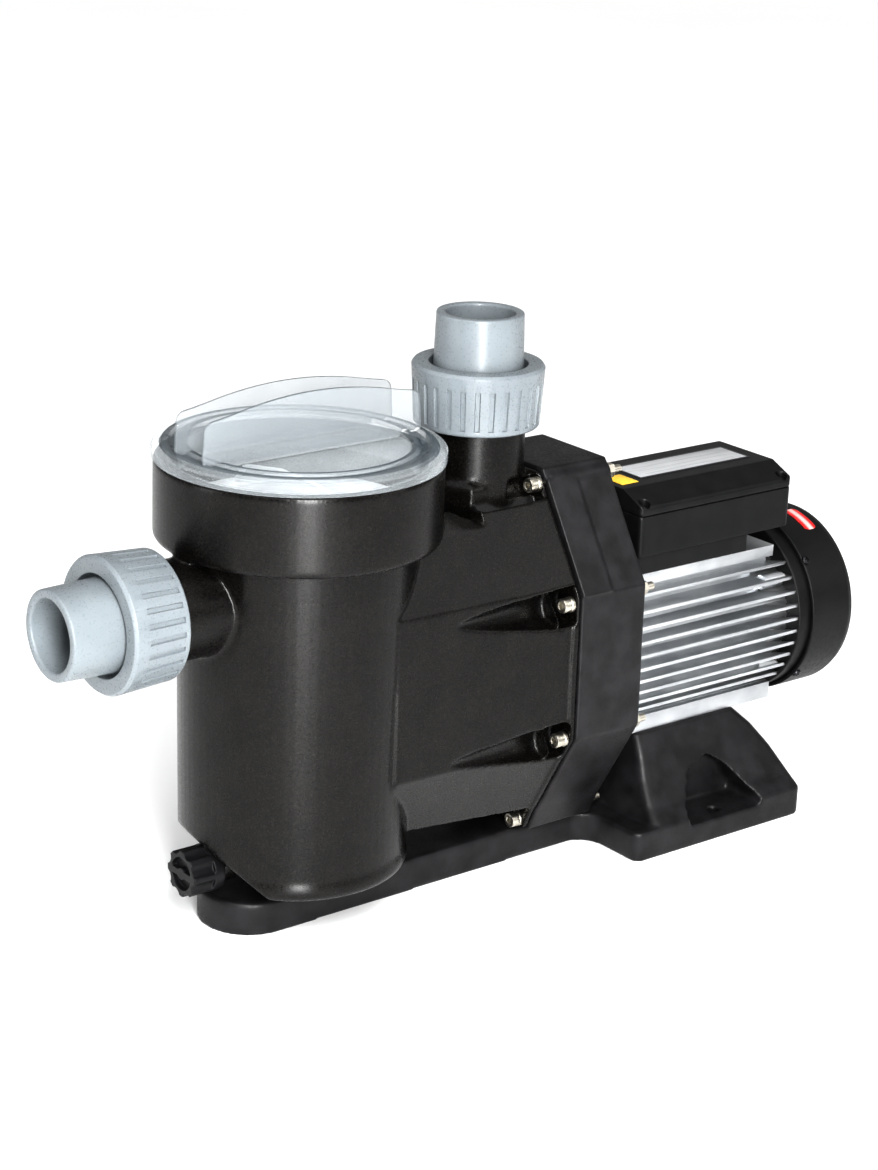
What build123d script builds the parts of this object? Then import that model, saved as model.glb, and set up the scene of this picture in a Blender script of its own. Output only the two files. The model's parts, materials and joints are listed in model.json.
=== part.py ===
from build123d import *
import os
from math import cos, hypot, radians, sin, sqrt

# Pool pump with a strainer pot. Millimetres, +Z up, +X along the shaft from the pot to the motor.
# The origin is on the floor, under the middle of the whole pump.

# ---- driving dimensions ----
SHAFT_Z = 151.0            # height of the motor shaft
SEAM_X = 41.5              # joint between the pump housing and the motor bracket
BRACKET_BACK_X = 103.0     # rear face of the bracket, where the motor is bolted on

POT_X = -149.0             # axis of the strainer pot
POT_FLOOR_Z = 36.0         # underside of the pot
POT_INNER_R = 77.0         # wall of the strainer chamber
COLLAR_R = 101.0           # outer radius of the collar that holds the lid
COLLAR_BORE_R = 90.3       # bore of the collar, which the lid's skirt enters
COLLAR_LOW_Z = 281.0
COLLAR_TOP_Z = 338.0
BASKET_SEAT_Z = 296.0      # shoulder that the basket's rim rests on

SUCTION_Z = 244.0          # height of the suction axis
DISCHARGE_X = 7.0          # axis of the discharge neck
UNION_SUCTION_X = -266.35  # inner end of the suction union nut
UNION_DISCHARGE_Z = 340.35 # inner end of the discharge union nut
PORT_R = 24.0              # water passage of both necks
NECK_R = 35.5              # outside of both necks
THREAD_R = 39.6            # crests of the union threads
THREAD_PITCH = 4.0
NUT_LENGTH = 45.0
NUT_SEAL_FACE = 25.7       # from the nut's inner end to the neck's end face
TAIL_LENGTH = 81.65        # from the nut's inner end to the spigot's mouth
SOCKET_R = 25.1            # solvent socket for a 50 mm pipe
SOCKET_DEPTH = 31.0
GRIP_COUNT = 28

CHAMBER_R = 66.0           # impeller chamber
CHAMBER_FRONT_X = -58.0
IMPELLER_R = 50.0
EYE_R = 24.0

LID_R = 102.4
LID_LOW_Z = 338.2
FIN_Y = 16.8               # the lid's two handles stand this far each side of its centre
FIN_HALF_LENGTH = 92.0
FIN_THICKNESS = 3.2
FIN_END_Z = 376.0
FIN_TOP_Z = 388.0

BOLT_HOLE_R = 3.3          # clearance for M6
BOLT_R = 3.0
BOLT_FACE_X = 38.5         # where the bolts' washers bear on the housing flange
# Half of the joint's eight bolts, as (Y, Z); the other half is mirrored in Y.
BOLT_PLACES = [(35.5, 297.5), (79.0, 218.0), (79.0, 113.5), (33.0, 33.0)]

MOTOR_BORE_R = 50.0
MOTOR_CORE_R = 55.0
FIN_TIP_R = 68.0
FIN_PITCH = 10.3
MOTOR_END_X = 288.0
PLATFORM_Z = 214.0         # top of the motor's cast platform
PLATFORM_BACK_X = 275.0
SADDLE_Z = 82.0            # top of the base's pedestal, where the motor's foot rests
STATOR = (150.0, 230.0)    # front and rear faces of the laminations
BEARING_R = 17.5
BEARING_BORE_R = 7.5
FRONT_BEARING_X = 100.0
REAR_BEARING_X = 281.5
BEARING_WIDTH = 11.0

COVER_R = 73.5
COVER_FRONT_X = 300.0
COVER_BACK_X = 348.0
COVER_WALL = 2.5

BOX_FRONT_X = 127.5
BOX_BACK_X = 285.0
BOX_HALF_WIDTH = 52.0
BOX_LOW_Z = 229.0
BOX_JOINT_Z = 261.0        # top of the box's base
BOX_GAP = 1.0              # shadow gap between the base and the lid
BOX_SCREW_Z = 265.0        # seats of the lid's screws
BOX_TOP_Z = 278.0
PLATEAU_HALF_WIDTH = 30.0  # flat top of the lid
BOX_WALL = 3.0
GLAND_X = 250.0
GLAND_Z = 244.0

TONGUE_R = 36.6
TONGUE_TIP_X = -223.0
TONGUE_TOP_Z = 25.0
FOOT_HALF_WIDTH = 92.0
FOOT_FRONT_X = 107.0
FOOT_BACK_X = 283.6
FOOT_Z = 23.0
ANCHOR_X = 202.0           # floor anchor holes
ANCHOR_Y = 75.0
ANCHOR_HOLE_R = 5.0
ANCHOR_FLOOR_Z = 17.0

DRAIN_Z = 46.0
DRAIN_SEAT_X = -216.0
DRAIN_POCKET_R = 20.0      # pocket in the slope that clears the drain's knob
POT_LOW_WALL = 5.0         # wall behind the slope and the pocket


# ---- small tools for solids of plain shape ----
def block(x0, x1, y0, y1, z0, z1):
    return Pos((x0 + x1) / 2, (y0 + y1) / 2, (z0 + z1) / 2) * Box(x1 - x0, y1 - y0, z1 - z0)


def rod_x(radius, x0, x1, y=0.0, z=SHAFT_Z):
    return Pos((x0 + x1) / 2, y, z) * Rot(0, 90, 0) * Cylinder(radius, x1 - x0)


def rod_y(radius, y0, y1, x, z):
    return Pos(x, (y0 + y1) / 2, z) * Rot(90, 0, 0) * Cylinder(radius, y1 - y0)


def rod_z(radius, z0, z1, x=0.0, y=0.0):
    return Pos(x, y, (z0 + z1) / 2) * Cylinder(radius, z1 - z0)


def ring_x(inner, outer, x0, x1, y=0.0, z=SHAFT_Z):
    return rod_x(outer, x0, x1, y, z) - rod_x(inner, x0 - 1, x1 + 1, y, z)


def ring_z(inner, outer, z0, z1, x=0.0, y=0.0):
    return rod_z(outer, z0, z1, x, y) - rod_z(inner, z0 - 1, z1 + 1, x, y)


def outline(points, radius=0.0):
    face = make_face(Polyline(*points, close=True))
    return fillet(face.vertices(), radius) if radius else face


def mirrored(points):
    """An outline from its half with Y above 0, mirrored to the other side."""
    return points + [(-y, z) for y, z in reversed(points)]


def prism_x(points, x0, x1, radius=0.0):
    """Outline in Y and Z, from x0 to x1."""
    return extrude(Plane.YZ.offset(x0) * outline(points, radius), x1 - x0)


def prism_y(points, y0, y1, radius=0.0):
    """Outline in X and Z, from y0 to y1."""
    return extrude(Plane.XZ.offset(-y1) * outline(points, radius), y1 - y0)


def prism_z(points, z0, z1, radius=0.0):
    """Outline in X and Y, from z0 to z1."""
    return extrude(Plane.XY.offset(z0) * outline(points, radius), z1 - z0)


def turned_z(points, x=0.0, y=0.0):
    """Profile of (radius, Z) turned about an upright axis."""
    return Pos(x, y, 0) * revolve(Plane.XZ * outline(points), Axis.Z)


def turned_x(points, z=SHAFT_Z):
    """Profile of (X, radius) turned about an axis along X."""
    return Pos(0, 0, z) * revolve(Plane.XZ * outline(points), Axis.X)


def around_x(shape, angle, z=SHAFT_Z):
    """The shape, made round the X axis at zero height, turned and lifted to the shaft."""
    return Pos(0, 0, z) * Rot(angle, 0, 0) * shape


def joined(shapes):
    """All the shapes as one body."""
    total = shapes[0]
    return total.fuse(*shapes[1:]) if len(shapes) > 1 else total


def cone_between(start, end, start_radius, end_radius):
    """A straight cone from one point to another."""
    reach = Vector(*end) - Vector(*start)
    seat = Plane(origin=start, z_dir=reach)
    lift = Pos(0, 0, reach.length / 2)
    return seat.location * lift * Cone(start_radius, end_radius, reach.length)


def both_sides(places):
    return [(side * y, z) for y, z in places for side in (1, -1)]


# ---- threads, bolts and screws ----
def thread_profile(length):
    """Outer profile of a union thread, as (radius, Z) from its inner to its outer end."""
    turns = int(length / THREAD_PITCH)
    points = []
    for turn in range(turns):
        low = turn * THREAD_PITCH
        points += [(THREAD_R - 1.6, low), (THREAD_R, low + 1.4), (THREAD_R, low + 2.4)]
    return points + [(THREAD_R - 1.6, turns * THREAD_PITCH), (THREAD_R - 1.6, length)]


def union_neck():
    """Threaded end of a neck, made upright with the nut's inner end at zero."""
    start = 1.0
    profile = [(0, start)]
    profile += [(r, z + start) for r, z in thread_profile(NUT_SEAL_FACE - start)]
    profile += [(0, NUT_SEAL_FACE)]
    groove = ring_z(30.0, 35.0, NUT_SEAL_FACE - 2.7, NUT_SEAL_FACE + 1)
    return turned_z(profile) - groove


def socket_cap_screw(head_r, head_length, shank_r, shank_length):
    """Screw along +X with its head's seat at zero and its shank towards +X."""
    head = rod_x(head_r, -head_length, 0, z=0)
    key = Rot(0, 90, 0) * extrude(RegularPolygon(head_r * 0.5, 6), head_length * 0.55)
    head = head - Pos(-head_length, 0, 0) * key
    return head + rod_x(shank_r, 0, shank_length, z=0)


def pan_screw(head_r, head_length, shank_r, shank_length):
    """Cross-head screw along +X with its head's seat at zero."""
    head = rod_x(head_r, -head_length, 0, z=0)
    slot = block(-head_length, -head_length * 0.45, -head_r * 0.6, head_r * 0.6, -0.5, 0.5)
    return head - slot - Rot(90, 0, 0) * slot + rod_x(shank_r, 0, shank_length, z=0)


def hex_nut(across_r, thickness, hole_r):
    """Nut along X with its seat at zero, towards +X."""
    body = Rot(0, 90, 0) * extrude(RegularPolygon(across_r, 6), thickness)
    return body - rod_x(hole_r, -1, thickness + 1, z=0)


# ---- strainer pot and pump housing: welded where the volute meets the pot's wall ----
FLANGE_HALF = [(35.0, 306.5), (86.5, 223.5), (88.0, 115.0), (48.5, 45.5), (39.5, 27.0)]
BODY_HALF_BACK = [(48.0, 290.0), (84.0, 234.0), (85.0, 113.0), (48.0, 46.5)]
BODY_HALF_FRONT = [(46.0, 288.0), (80.0, 234.0), (80.5, 113.0), (46.0, 58.0)]
VOLUTE_FRONT_X = -118.0
FLANGE_X = 36.0
SCALLOP_R = 15.5
WATER_WAY_R = 26.6         # passage from the pot to the impeller
RIB_X = -21.0              # thin rib between the pocket behind the pot and the side troughs
RIB_THICKNESS = 3.0
SHOULDER_Z = 281.0         # lowered top of the volute, next to the pot
PLATFORM_HALF = 33.5       # half width of the raised platform under the discharge neck
NECK_PLATFORM_Z = 305.0


def pot_outside():
    lip = [(0, POT_FLOOR_Z), (76.5, POT_FLOOR_Z), (82.0, 39.0), (83.8, 43.0), (83.4, 47.0)]
    wall = [(82.0, 52.0), (84.7, COLLAR_LOW_Z)]
    collar = [(98.5, COLLAR_LOW_Z), (COLLAR_R, COLLAR_LOW_Z + 2.5), (COLLAR_R, COLLAR_TOP_Z - 1.5)]
    top = [(COLLAR_R - 1.5, COLLAR_TOP_Z), (0, COLLAR_TOP_Z)]
    return turned_z(lip + wall + collar + top, POT_X)


def drain_slope(inset=0.0):
    """Slanting cut under the pot's front, above the drain plug."""
    cut = prism_y([(-253.0, 92.0), (-185.7, 30.0), (-270.0, 20.0), (-270.0, 92.0)], -120.0, 120.0)
    return Rot(0, 0, -10) * Pos(inset, 0, 0) * cut


def pot_chamber():
    """The strainer chamber, kept clear of the slope and of the drain's pocket."""
    chamber = rod_z(POT_INNER_R, POT_FLOOR_Z + 6.0, BASKET_SEAT_Z + 1, POT_X)
    chamber -= drain_slope(1.5 * POT_LOW_WALL)
    seat = DRAIN_SEAT_X + POT_LOW_WALL
    return chamber - rod_x(DRAIN_POCKET_R + POT_LOW_WALL, -240.0, seat, z=DRAIN_Z)


def strainer_pot():
    body = pot_outside()
    body += rod_x(NECK_R, UNION_SUCTION_X - 2, -215.0, z=SUCTION_Z)
    body += Pos(UNION_SUCTION_X, 0, SUCTION_Z) * Rot(0, -90, 0) * union_neck()
    body += rod_z(30.0, TONGUE_TOP_Z, POT_FLOOR_Z + 1, POT_X)
    body -= drain_slope()
    body -= rod_x(DRAIN_POCKET_R, -250.0, DRAIN_SEAT_X, z=DRAIN_Z)
    body += rod_x(13.0, DRAIN_SEAT_X, -200.0, z=DRAIN_Z)
    cuts = [pot_chamber()]
    cuts += [rod_z(COLLAR_BORE_R, BASKET_SEAT_Z, COLLAR_TOP_Z + 1, POT_X)]
    cuts += [ring_z(92.4, 97.6, COLLAR_TOP_Z - 4.0, COLLAR_TOP_Z + 1, POT_X)]
    cuts += [rod_x(PORT_R, -300.0, -200.0, z=SUCTION_Z)]
    cuts += [rod_x(WATER_WAY_R, -90.0, -50.0)]
    cuts += [rod_x(5.5, -222.0, -190.0, z=DRAIN_Z)]
    cuts += [rod_z(4.0, TONGUE_TOP_Z - 1, 39.0, POT_X)]
    return body.cut(*cuts)


def volute_body():
    front = Plane.YZ.offset(VOLUTE_FRONT_X) * outline(mirrored(BODY_HALF_FRONT))
    back = Plane.YZ.offset(SEAM_X - 3.0) * outline(mirrored(BODY_HALF_BACK))
    return loft([front, back], ruled=True)


def scallop(y, z):
    """Pointed pocket along the volute's side, deepening to the seat of one bolt."""
    side = 1 if y > 0 else -1
    tip = (-92.0, side * 86.0, z + 5.0)
    end = (24.0, y, z)
    cut = cone_between(tip, end, 0.6, SCALLOP_R)
    return joined([cut, rod_x(SCALLOP_R, 23.9, BOLT_FACE_X, y, z)])


def neck_platform():
    """Raised platform under the discharge neck, with slanting edges."""
    plan = [(-33.0, -14.0), (RIB_X, -PLATFORM_HALF), (FLANGE_X, -PLATFORM_HALF)]
    plan += [(x, -y) for x, y in reversed(plan)]
    body = prism_z(plan, 255.0, NECK_PLATFORM_Z)
    top = body.edges().filter_by_position(Axis.Z, NECK_PLATFORM_Z - 0.1, NECK_PLATFORM_Z + 0.1)
    return chamfer(top, 4.5)


def side_trough():
    """Narrow trough between the neck's platform and the volute's slope."""
    section = [(47.6, 292.0), (46.8, 288.6), (42.5, 278.5), (39.5, 278.5), (PLATFORM_HALF - 1, 292.0)]
    return prism_x(section, RIB_X, FLANGE_X)


def pot_gusset():
    """Ridge that climbs from the rib to the pot along the pocket's side."""
    low_section = [(52.4, SHOULDER_Z - 0.5), (45.0, SHOULDER_Z + 1), (38.0, 270.0), (50.0, 270.0)]
    high_section = [(52.4, SHOULDER_Z - 0.5), (40.0, 311.0), (33.0, 270.0), (50.0, 270.0)]
    near = Plane.YZ.offset(RIB_X - RIB_THICKNESS) * outline(low_section)
    far = Plane.YZ.offset(-90.0) * outline(high_section)
    return loft([far, near], ruled=True)


def pump_housing():
    body = volute_body()
    pocket_end = RIB_X - RIB_THICKNESS
    body -= block(VOLUTE_FRONT_X - 1, pocket_end, -60.0, 60.0, SHOULDER_Z, 300.0)
    body -= block(VOLUTE_FRONT_X - 1, pocket_end, -38.0, 38.0, 262.0, 300.0)
    body += pot_gusset() + mirror(pot_gusset(), Plane.XZ)
    body -= side_trough() + mirror(side_trough(), Plane.XZ)
    body += prism_x(mirrored(FLANGE_HALF), FLANGE_X, SEAM_X)
    body += neck_platform()
    body += rod_z(NECK_R + 0.5, 225.0, UNION_DISCHARGE_Z + 2, DISCHARGE_X)
    body -= block(SEAM_X, 60.0, -40.0, 40.0, 200.0, 309.0)
    body += Pos(DISCHARGE_X, 0, UNION_DISCHARGE_Z) * union_neck()
    cuts = [pot_outside()]
    cuts += [rod_x(CHAMBER_R, CHAMBER_FRONT_X, SEAM_X + 1)]
    cuts += [rod_x(WATER_WAY_R, -90.0, CHAMBER_FRONT_X + 1)]
    cuts += [rod_z(PORT_R, SHAFT_Z + 30, 380.0, DISCHARGE_X)]
    cuts += [scallop(y, z) for y, z in both_sides(BOLT_PLACES[1:3])]
    for y, z in both_sides(BOLT_PLACES):
        cuts += [rod_x(BOLT_HOLE_R, 30.0, SEAM_X + 1, y, z)]
    for y, z in both_sides([BOLT_PLACES[0], BOLT_PLACES[3]]):
        cuts += [rod_x(7.6, 10.0, BOLT_FACE_X, y, z)]
    return body.cut(*cuts)


# ---- base with tongue, foot and motor pedestal ----
def tongue():
    centre = TONGUE_TIP_X + TONGUE_R
    plan = [(centre, -TONGUE_R), (87.0, -32.0), (FOOT_FRONT_X + 10, -32.0)]
    plan += [(x, -y) for x, y in reversed(plan)]
    bar = prism_z(plan, 0, TONGUE_TOP_Z) + rod_z(TONGUE_R, 0, TONGUE_TOP_Z, centre)
    top = bar.edges().filter_by_position(Axis.Z, TONGUE_TOP_Z - 0.1, TONGUE_TOP_Z + 0.1)
    return chamfer(top, 2.0)


def web_to_foot():
    """Hollow corners where the tongue widens into the foot."""
    radius = 20.0
    corner = [(FOOT_FRONT_X - radius, 0), (FOOT_FRONT_X + 2, 0)]
    plan = corner + [(FOOT_FRONT_X + 2, 31.0 + radius), (FOOT_FRONT_X - radius, 31.0 + radius)]
    piece = prism_z(plan, 0, FOOT_Z)
    piece -= rod_z(radius, -1, FOOT_Z + 1, FOOT_FRONT_X - radius, 31.5 + radius)
    return piece


def pedestal():
    """Flared block from the foot up to the motor's saddle."""
    # height, half width, front X, rear X
    levels = [(FOOT_Z, 91.0, 127.0, FOOT_BACK_X - 0.6), (33.0, 78.0, 131.0, 281.5)]
    levels += [(50.0, 64.0, 136.0, 275.0), (68.0, 54.0, 140.0, 262.0), (SADDLE_Z, 45.0, 142.0, 248.0)]
    faces = []
    for z, half, front, back in levels:
        plan = [(front, -half), (back, -half), (back, half), (front, half)]
        faces += [Plane.XY.offset(z) * outline(plan, 7.0)]
    return loft(faces, ruled=True)


def arch_recess():
    """Arched pocket in the pedestal's side, over one floor anchor."""
    arch = [(157.0, ANCHOR_FLOOR_Z), (243.0, ANCHOR_FLOOR_Z), (222.0, 46.0)]
    arch += [(206.0, 57.0), (184.0, 50.0)]
    return prism_y(arch, 52.0, 100.0, 5.0)


def base():
    foot = prism_z([(FOOT_FRONT_X, -FOOT_HALF_WIDTH), (FOOT_BACK_X, -FOOT_HALF_WIDTH),
                    (FOOT_BACK_X, FOOT_HALF_WIDTH), (FOOT_FRONT_X, FOOT_HALF_WIDTH)],
                   0, FOOT_Z, 8.0)
    body = foot + tongue() + pedestal() + web_to_foot() + mirror(web_to_foot(), Plane.XZ)
    recess = arch_recess()
    cuts = [recess, mirror(recess, Plane.XZ)]
    for side in (1, -1):
        cuts += [rod_z(ANCHOR_HOLE_R, -1, 30.0, ANCHOR_X, side * ANCHOR_Y)]
    for x, y in saddle_screw_places():
        cuts += [rod_z(7.0, -1, SADDLE_Z - 16, x, y), rod_z(BOLT_HOLE_R, 0, SADDLE_Z + 1, x, y)]
    for x, y in bracket_screw_places():
        cuts += [rod_z(7.0, -1, 10.0, x, y), rod_z(BOLT_HOLE_R, 0, TONGUE_TOP_Z + 1, x, y)]
    cuts += [rod_z(9.0, -1, 12.0, POT_X), rod_z(4.2, 0, TONGUE_TOP_Z + 1, POT_X)]
    for x0, x1 in ((-130.0, -50.0), (-42.0, 48.0)):
        cuts += [block(x0, x1, -24.0, 24.0, -1, 17.0)]
    cuts += [block(165.0, 225.0, -22.0, 22.0, -1, 60.0)]
    return body.cut(*cuts)


def saddle_screw_places():
    return [(x, y) for x in (156.0, 236.0) for y in (-31.0, 31.0)]


def bracket_screw_places():
    return [(72.0, -20.0), (72.0, 20.0)]


# ---- motor bracket and seal plate ----
BRACKET_HALF = [(36.0, 308.7), (88.0, 224.7), (89.6, 114.5), (50.0, 45.0), (40.5, TONGUE_TOP_Z)]
BRACKET_INNER_HALF = [(31.5, 301.0), (80.8, 222.0), (82.0, 117.0), (43.0, 48.0), (36.0, 34.0)]
BRACKET_LIMIT_HALF = [(37.0, 310.0), (90.0, 225.5), (91.0, 114.0), (51.0, 44.5), (41.5, 25.0)]
PAD_BACK_X = 69.0


def diagonal_pad(side):
    """Raised panel on the bracket's upper slope, at its front."""
    (y0, z0), (y1, z1) = BRACKET_HALF[0], BRACKET_HALF[1]
    length = hypot(y1 - y0, z1 - z0)
    along = ((y1 - y0) / length, (z1 - z0) / length)
    out = (-along[1], along[0])
    start, rise, depth = 9.0, 1.6, 2.0
    points = []
    for s, t in [(start, rise), (length, rise), (length, -depth), (start, -depth)]:
        y = y0 + s * along[0] + t * out[0]
        points += [(side * y, z0 + s * along[1] + t * out[1])]
    return prism_x(points, SEAM_X, PAD_BACK_X)


def motor_bracket():
    body = prism_x(mirrored(BRACKET_HALF), SEAM_X, BRACKET_BACK_X, 1.5)
    body += diagonal_pad(1) + diagonal_pad(-1)
    body -= prism_x(mirrored(BRACKET_INNER_HALF), SEAM_X + 10.5, BRACKET_BACK_X - 7.0)
    hub = rod_x(27.0, SEAM_X + 5, SEAM_X + 17)
    bosses = [rod_x(8.0, SEAM_X + 5, BRACKET_BACK_X, y, z) for y, z in both_sides(BOLT_PLACES)]
    body = joined([body, hub] + bosses)
    body &= prism_x(mirrored(BRACKET_LIMIT_HALF), SEAM_X, BRACKET_BACK_X)
    cuts = [rod_x(15.1, SEAM_X - 1, SEAM_X + 7), rod_x(9.0, SEAM_X, SEAM_X + 20)]
    cuts += [ring_x(68.6, 72.4, SEAM_X - 1, SEAM_X + 2.6)]
    cuts += [rod_x(29.2, 90.0, BRACKET_BACK_X + 1)]
    cuts += [rod_x(BOLT_HOLE_R, 40.0, 110.0, y, z) for y, z in both_sides(BOLT_PLACES)]
    cuts += [rod_x(2.6, 90.0, 110.0, y, SHAFT_Z + z) for y, z in motor_screw_places()]
    for x, y in bracket_screw_places():
        cuts += [rod_z(3.0, TONGUE_TOP_Z - 1, TONGUE_TOP_Z + 12, x, y)]
    return body.cut(*cuts)


def motor_screw_places():
    return [(y, z) for y in (-28.0, 28.0) for z in (-28.0, 28.0)]


# ---- motor ----
def fin_heights():
    """Heights of the cooling fins, counted from the shaft."""
    return [FIN_PITCH * (step + 0.5) for step in range(-6, 5)]


def motor_housing():
    length = (BRACKET_BACK_X, MOTOR_END_X)
    pieces = [rod_x(MOTOR_CORE_R, *length)]
    for z in fin_heights():
        reach = sqrt(FIN_TIP_R ** 2 - z ** 2)
        fin = block(*length, -reach, reach, SHAFT_Z + z - 1.3, SHAFT_Z + z + 1.3)
        pieces += [fin]
    pieces += [block(*length, -42.0, 42.0, SADDLE_Z, SADDLE_Z + 13)]
    pieces += [block(*length, -30.0, 30.0, SADDLE_Z + 5, SADDLE_Z + 30)]
    top = (BRACKET_BACK_X, PLATFORM_BACK_X)
    pieces += [block(*top, -47.5, 47.5, SHAFT_Z + 54, PLATFORM_Z)]
    pieces += [block(*top, -40.0, 40.0, SHAFT_Z + 36, PLATFORM_Z - 4)]
    for y, z in shield_screw_places():
        pieces += [rod_x(6.0, MOTOR_END_X - 26, MOTOR_END_X, y, SHAFT_Z + z)]
    body = joined(pieces)
    cuts = [rod_x(MOTOR_BORE_R, 90.0, 300.0)]
    cuts += [rod_z(BOLT_R, SADDLE_Z - 1, SADDLE_Z + 11, x, y) for x, y in saddle_screw_places()]
    cuts += [rod_x(2.5, MOTOR_END_X - 20, 300.0, y, SHAFT_Z + z) for y, z in shield_screw_places()]
    cuts += [rod_z(9.0, SHAFT_Z + 30, PLATFORM_Z + 1, 160.0)]
    flare = [(264.0, MOTOR_CORE_R + 1), (290.0, MOTOR_CORE_R + 14), (290.0, MOTOR_CORE_R + 1)]
    body = body.cut(*cuts)
    return body - (turned_x(flare) & block(260, 300, -80, 80, SHAFT_Z - 42, SHAFT_Z + 50))


def shield_screw_places():
    angles = (35.0, 145.0, 215.0, 325.0)
    return [(60.0 * cos(radians(a)), 60.0 * sin(radians(a))) for a in angles]


def front_end_shield():
    back = BRACKET_BACK_X
    profile = [(95.0, 8.6), (95.0, 29.0), (back, 29.0), (back, MOTOR_BORE_R), (115.0, MOTOR_BORE_R)]
    profile += [(115.0, 46.0), (108.0, 40.0), (108.0, 23.0), (114.0, 21.0), (114.0, 8.6)]
    body = turned_x(profile)
    body -= rod_x(BEARING_R, FRONT_BEARING_X, 120.0)
    cuts = [rod_x(2.5, 90.0, 112.0, y, SHAFT_Z + z) for y, z in motor_screw_places()]
    return body.cut(*cuts)


def rear_end_shield():
    profile = [(280.0, 8.6), (280.0, 22.0), (286.0, 24.0), (286.0, 44.0), (280.0, 46.0)]
    profile += [(280.0, MOTOR_BORE_R), (MOTOR_END_X, MOTOR_BORE_R), (MOTOR_END_X, 70.0)]
    profile += [(COVER_FRONT_X + 6, 70.0), (COVER_FRONT_X + 6, 67.6), (294.0, 66.0)]
    profile += [(294.0, 25.0), (297.0, 22.0), (297.0, 8.6)]
    body = turned_x(profile) - rod_x(BEARING_R, 270.0, REAR_BEARING_X + BEARING_WIDTH)
    cuts = [rod_x(2.6, 280.0, 300.0, y, SHAFT_Z + z) for y, z in shield_screw_places()]
    for step in range(6):
        slot = block(284.0, 300.0, -6.0, 6.0, 30.0, 41.0)
        cuts += [around_x(slot, 60 * step + 30)]
    cuts += [radial_rod(2.0, 60.0, 80.0, COVER_FRONT_X + 3.5, a) for a in cover_screw_angles()]
    return body.cut(*cuts)


def stator_slot(width, low, high, x0, x1, angle):
    return around_x(block(x0, x1, -width / 2, width / 2, low, high), angle)


def stator_core():
    body = ring_x(28.5, MOTOR_BORE_R, *STATOR)
    length = (STATOR[0] - 1, STATOR[1] + 1)
    slots = [stator_slot(4.4, 31.0, 42.0, *length, 15 * n) for n in range(24)]
    mouths = [stator_slot(1.8, 27.0, 32.0, *length, 15 * n) for n in range(24)]
    return body.cut(*slots, *mouths)


def stator_windings():
    ends = []
    for face, out in ((STATOR[0], -1), (STATOR[1], 1)):
        profile = [(0, 31.0), (0, 46.0), (15.0, 46.0), (19.0, 42.0), (19.0, 35.0), (15.0, 31.0)]
        ends += [turned_x([(face + out * x, r) for x, r in profile])]
    low, high = STATOR[0] - 3, STATOR[1] + 3
    bars = [stator_slot(4.2, 31.6, 41.8, low, high, 15 * n) for n in range(24)]
    return joined(ends + bars)


def motor_shaft():
    profile = [(2.0, 0), (2.0, 6.0), (31.0, 6.0), (31.0, 7.0), (96.0, 7.0), (96.0, 7.45)]
    profile += [(118.0, 7.45), (118.0, 9.0), (274.0, 9.0), (274.0, 7.45), (296.0, 7.45)]
    profile += [(296.0, 6.5), (336.0, 6.5), (336.0, 0)]
    return turned_x(profile)


def rotor_core():
    profile = [(STATOR[0] - 8, 12.0), (STATOR[0] - 8, 26.0), (STATOR[0], 26.0), (STATOR[0], 27.9)]
    profile += [(STATOR[1], 27.9), (STATOR[1], 26.0), (STATOR[1] + 8, 26.0), (STATOR[1] + 8, 12.0)]
    profile += [(STATOR[1], 9.0), (STATOR[0], 9.0)]
    return turned_x(profile)


def bearing_outer(x):
    profile = [(x, 13.0), (x, BEARING_R), (x + BEARING_WIDTH, BEARING_R), (x + BEARING_WIDTH, 13.0)]
    profile += [(x + BEARING_WIDTH - 1.2, 11.5), (x + BEARING_WIDTH - 1.2, 14.0)]
    profile += [(x + 1.2, 14.0), (x + 1.2, 11.5)]
    return turned_x(profile)


def bearing_inner(x):
    profile = [(x, 7.45), (x, 10.3), (x + 2, 11.0), (x + BEARING_WIDTH - 2, 11.0)]
    profile += [(x + BEARING_WIDTH, 10.3), (x + BEARING_WIDTH, 7.45)]
    return turned_x(profile)


def wave_washer():
    return ring_x(13.5, 17.2, REAR_BEARING_X - 1.2, REAR_BEARING_X)


def radial_rod(radius, r0, r1, x, angle):
    """A rod that points away from the shaft, at an angle from straight up."""
    return around_x(rod_z(radius, r0, r1, x), angle)


def cover_screw_angles():
    return (50.0, 130.0, 230.0, 310.0)


def fan_cover():
    wall, rim = COVER_WALL, COVER_R
    outside = [(COVER_FRONT_X, rim), (340.0, rim), (345.0, rim - 2.0), (347.4, rim - 5.5)]
    outside += [(COVER_BACK_X, rim - 9.5), (COVER_BACK_X, 0)]
    inside = [(COVER_BACK_X - wall, 0), (COVER_BACK_X - wall, rim - 10.5), (343.4, rim - 5.2)]
    inside += [(339.0, rim - 3.3), (COVER_FRONT_X, rim - 3.3)]
    body = turned_x(outside + inside)
    cuts = []
    spokes = [around_x(block(340.0, 350.0, -2.2, 2.2, 0, 70.0), 30 * n) for n in range(12)]
    for inner in (12.0, 22.0, 32.0, 42.0, 52.0):
        opening = ring_x(inner, inner + 6.0, 343.0, 350.0)
        cuts += [opening.cut(*spokes)]
    cuts += [radial_rod(2.3, 60.0, 80.0, COVER_FRONT_X + 3.5, a) for a in cover_screw_angles()]
    notch = block(COVER_FRONT_X - 1, COVER_FRONT_X + 5, -4.0, 4.0, -76.0, -66.0)
    cuts += [around_x(notch, 35)]
    return body.cut(*cuts)


def fan():
    hub = ring_x(6.5, 13.0, 312.0, 330.0)
    plate = ring_x(6.5, 34.0, 312.0, 314.5)
    blades = [around_x(block(312.0, 330.0, -1.1, 1.1, 11.0, 60.0), 360 / 7 * n) for n in range(7)]
    return joined([hub, plate] + blades)


# ---- terminal box ----
def box_screw_places():
    return [(x, y) for x in (BOX_FRONT_X + 7, BOX_BACK_X - 7) for y in (-46.5, 46.5)]


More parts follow.
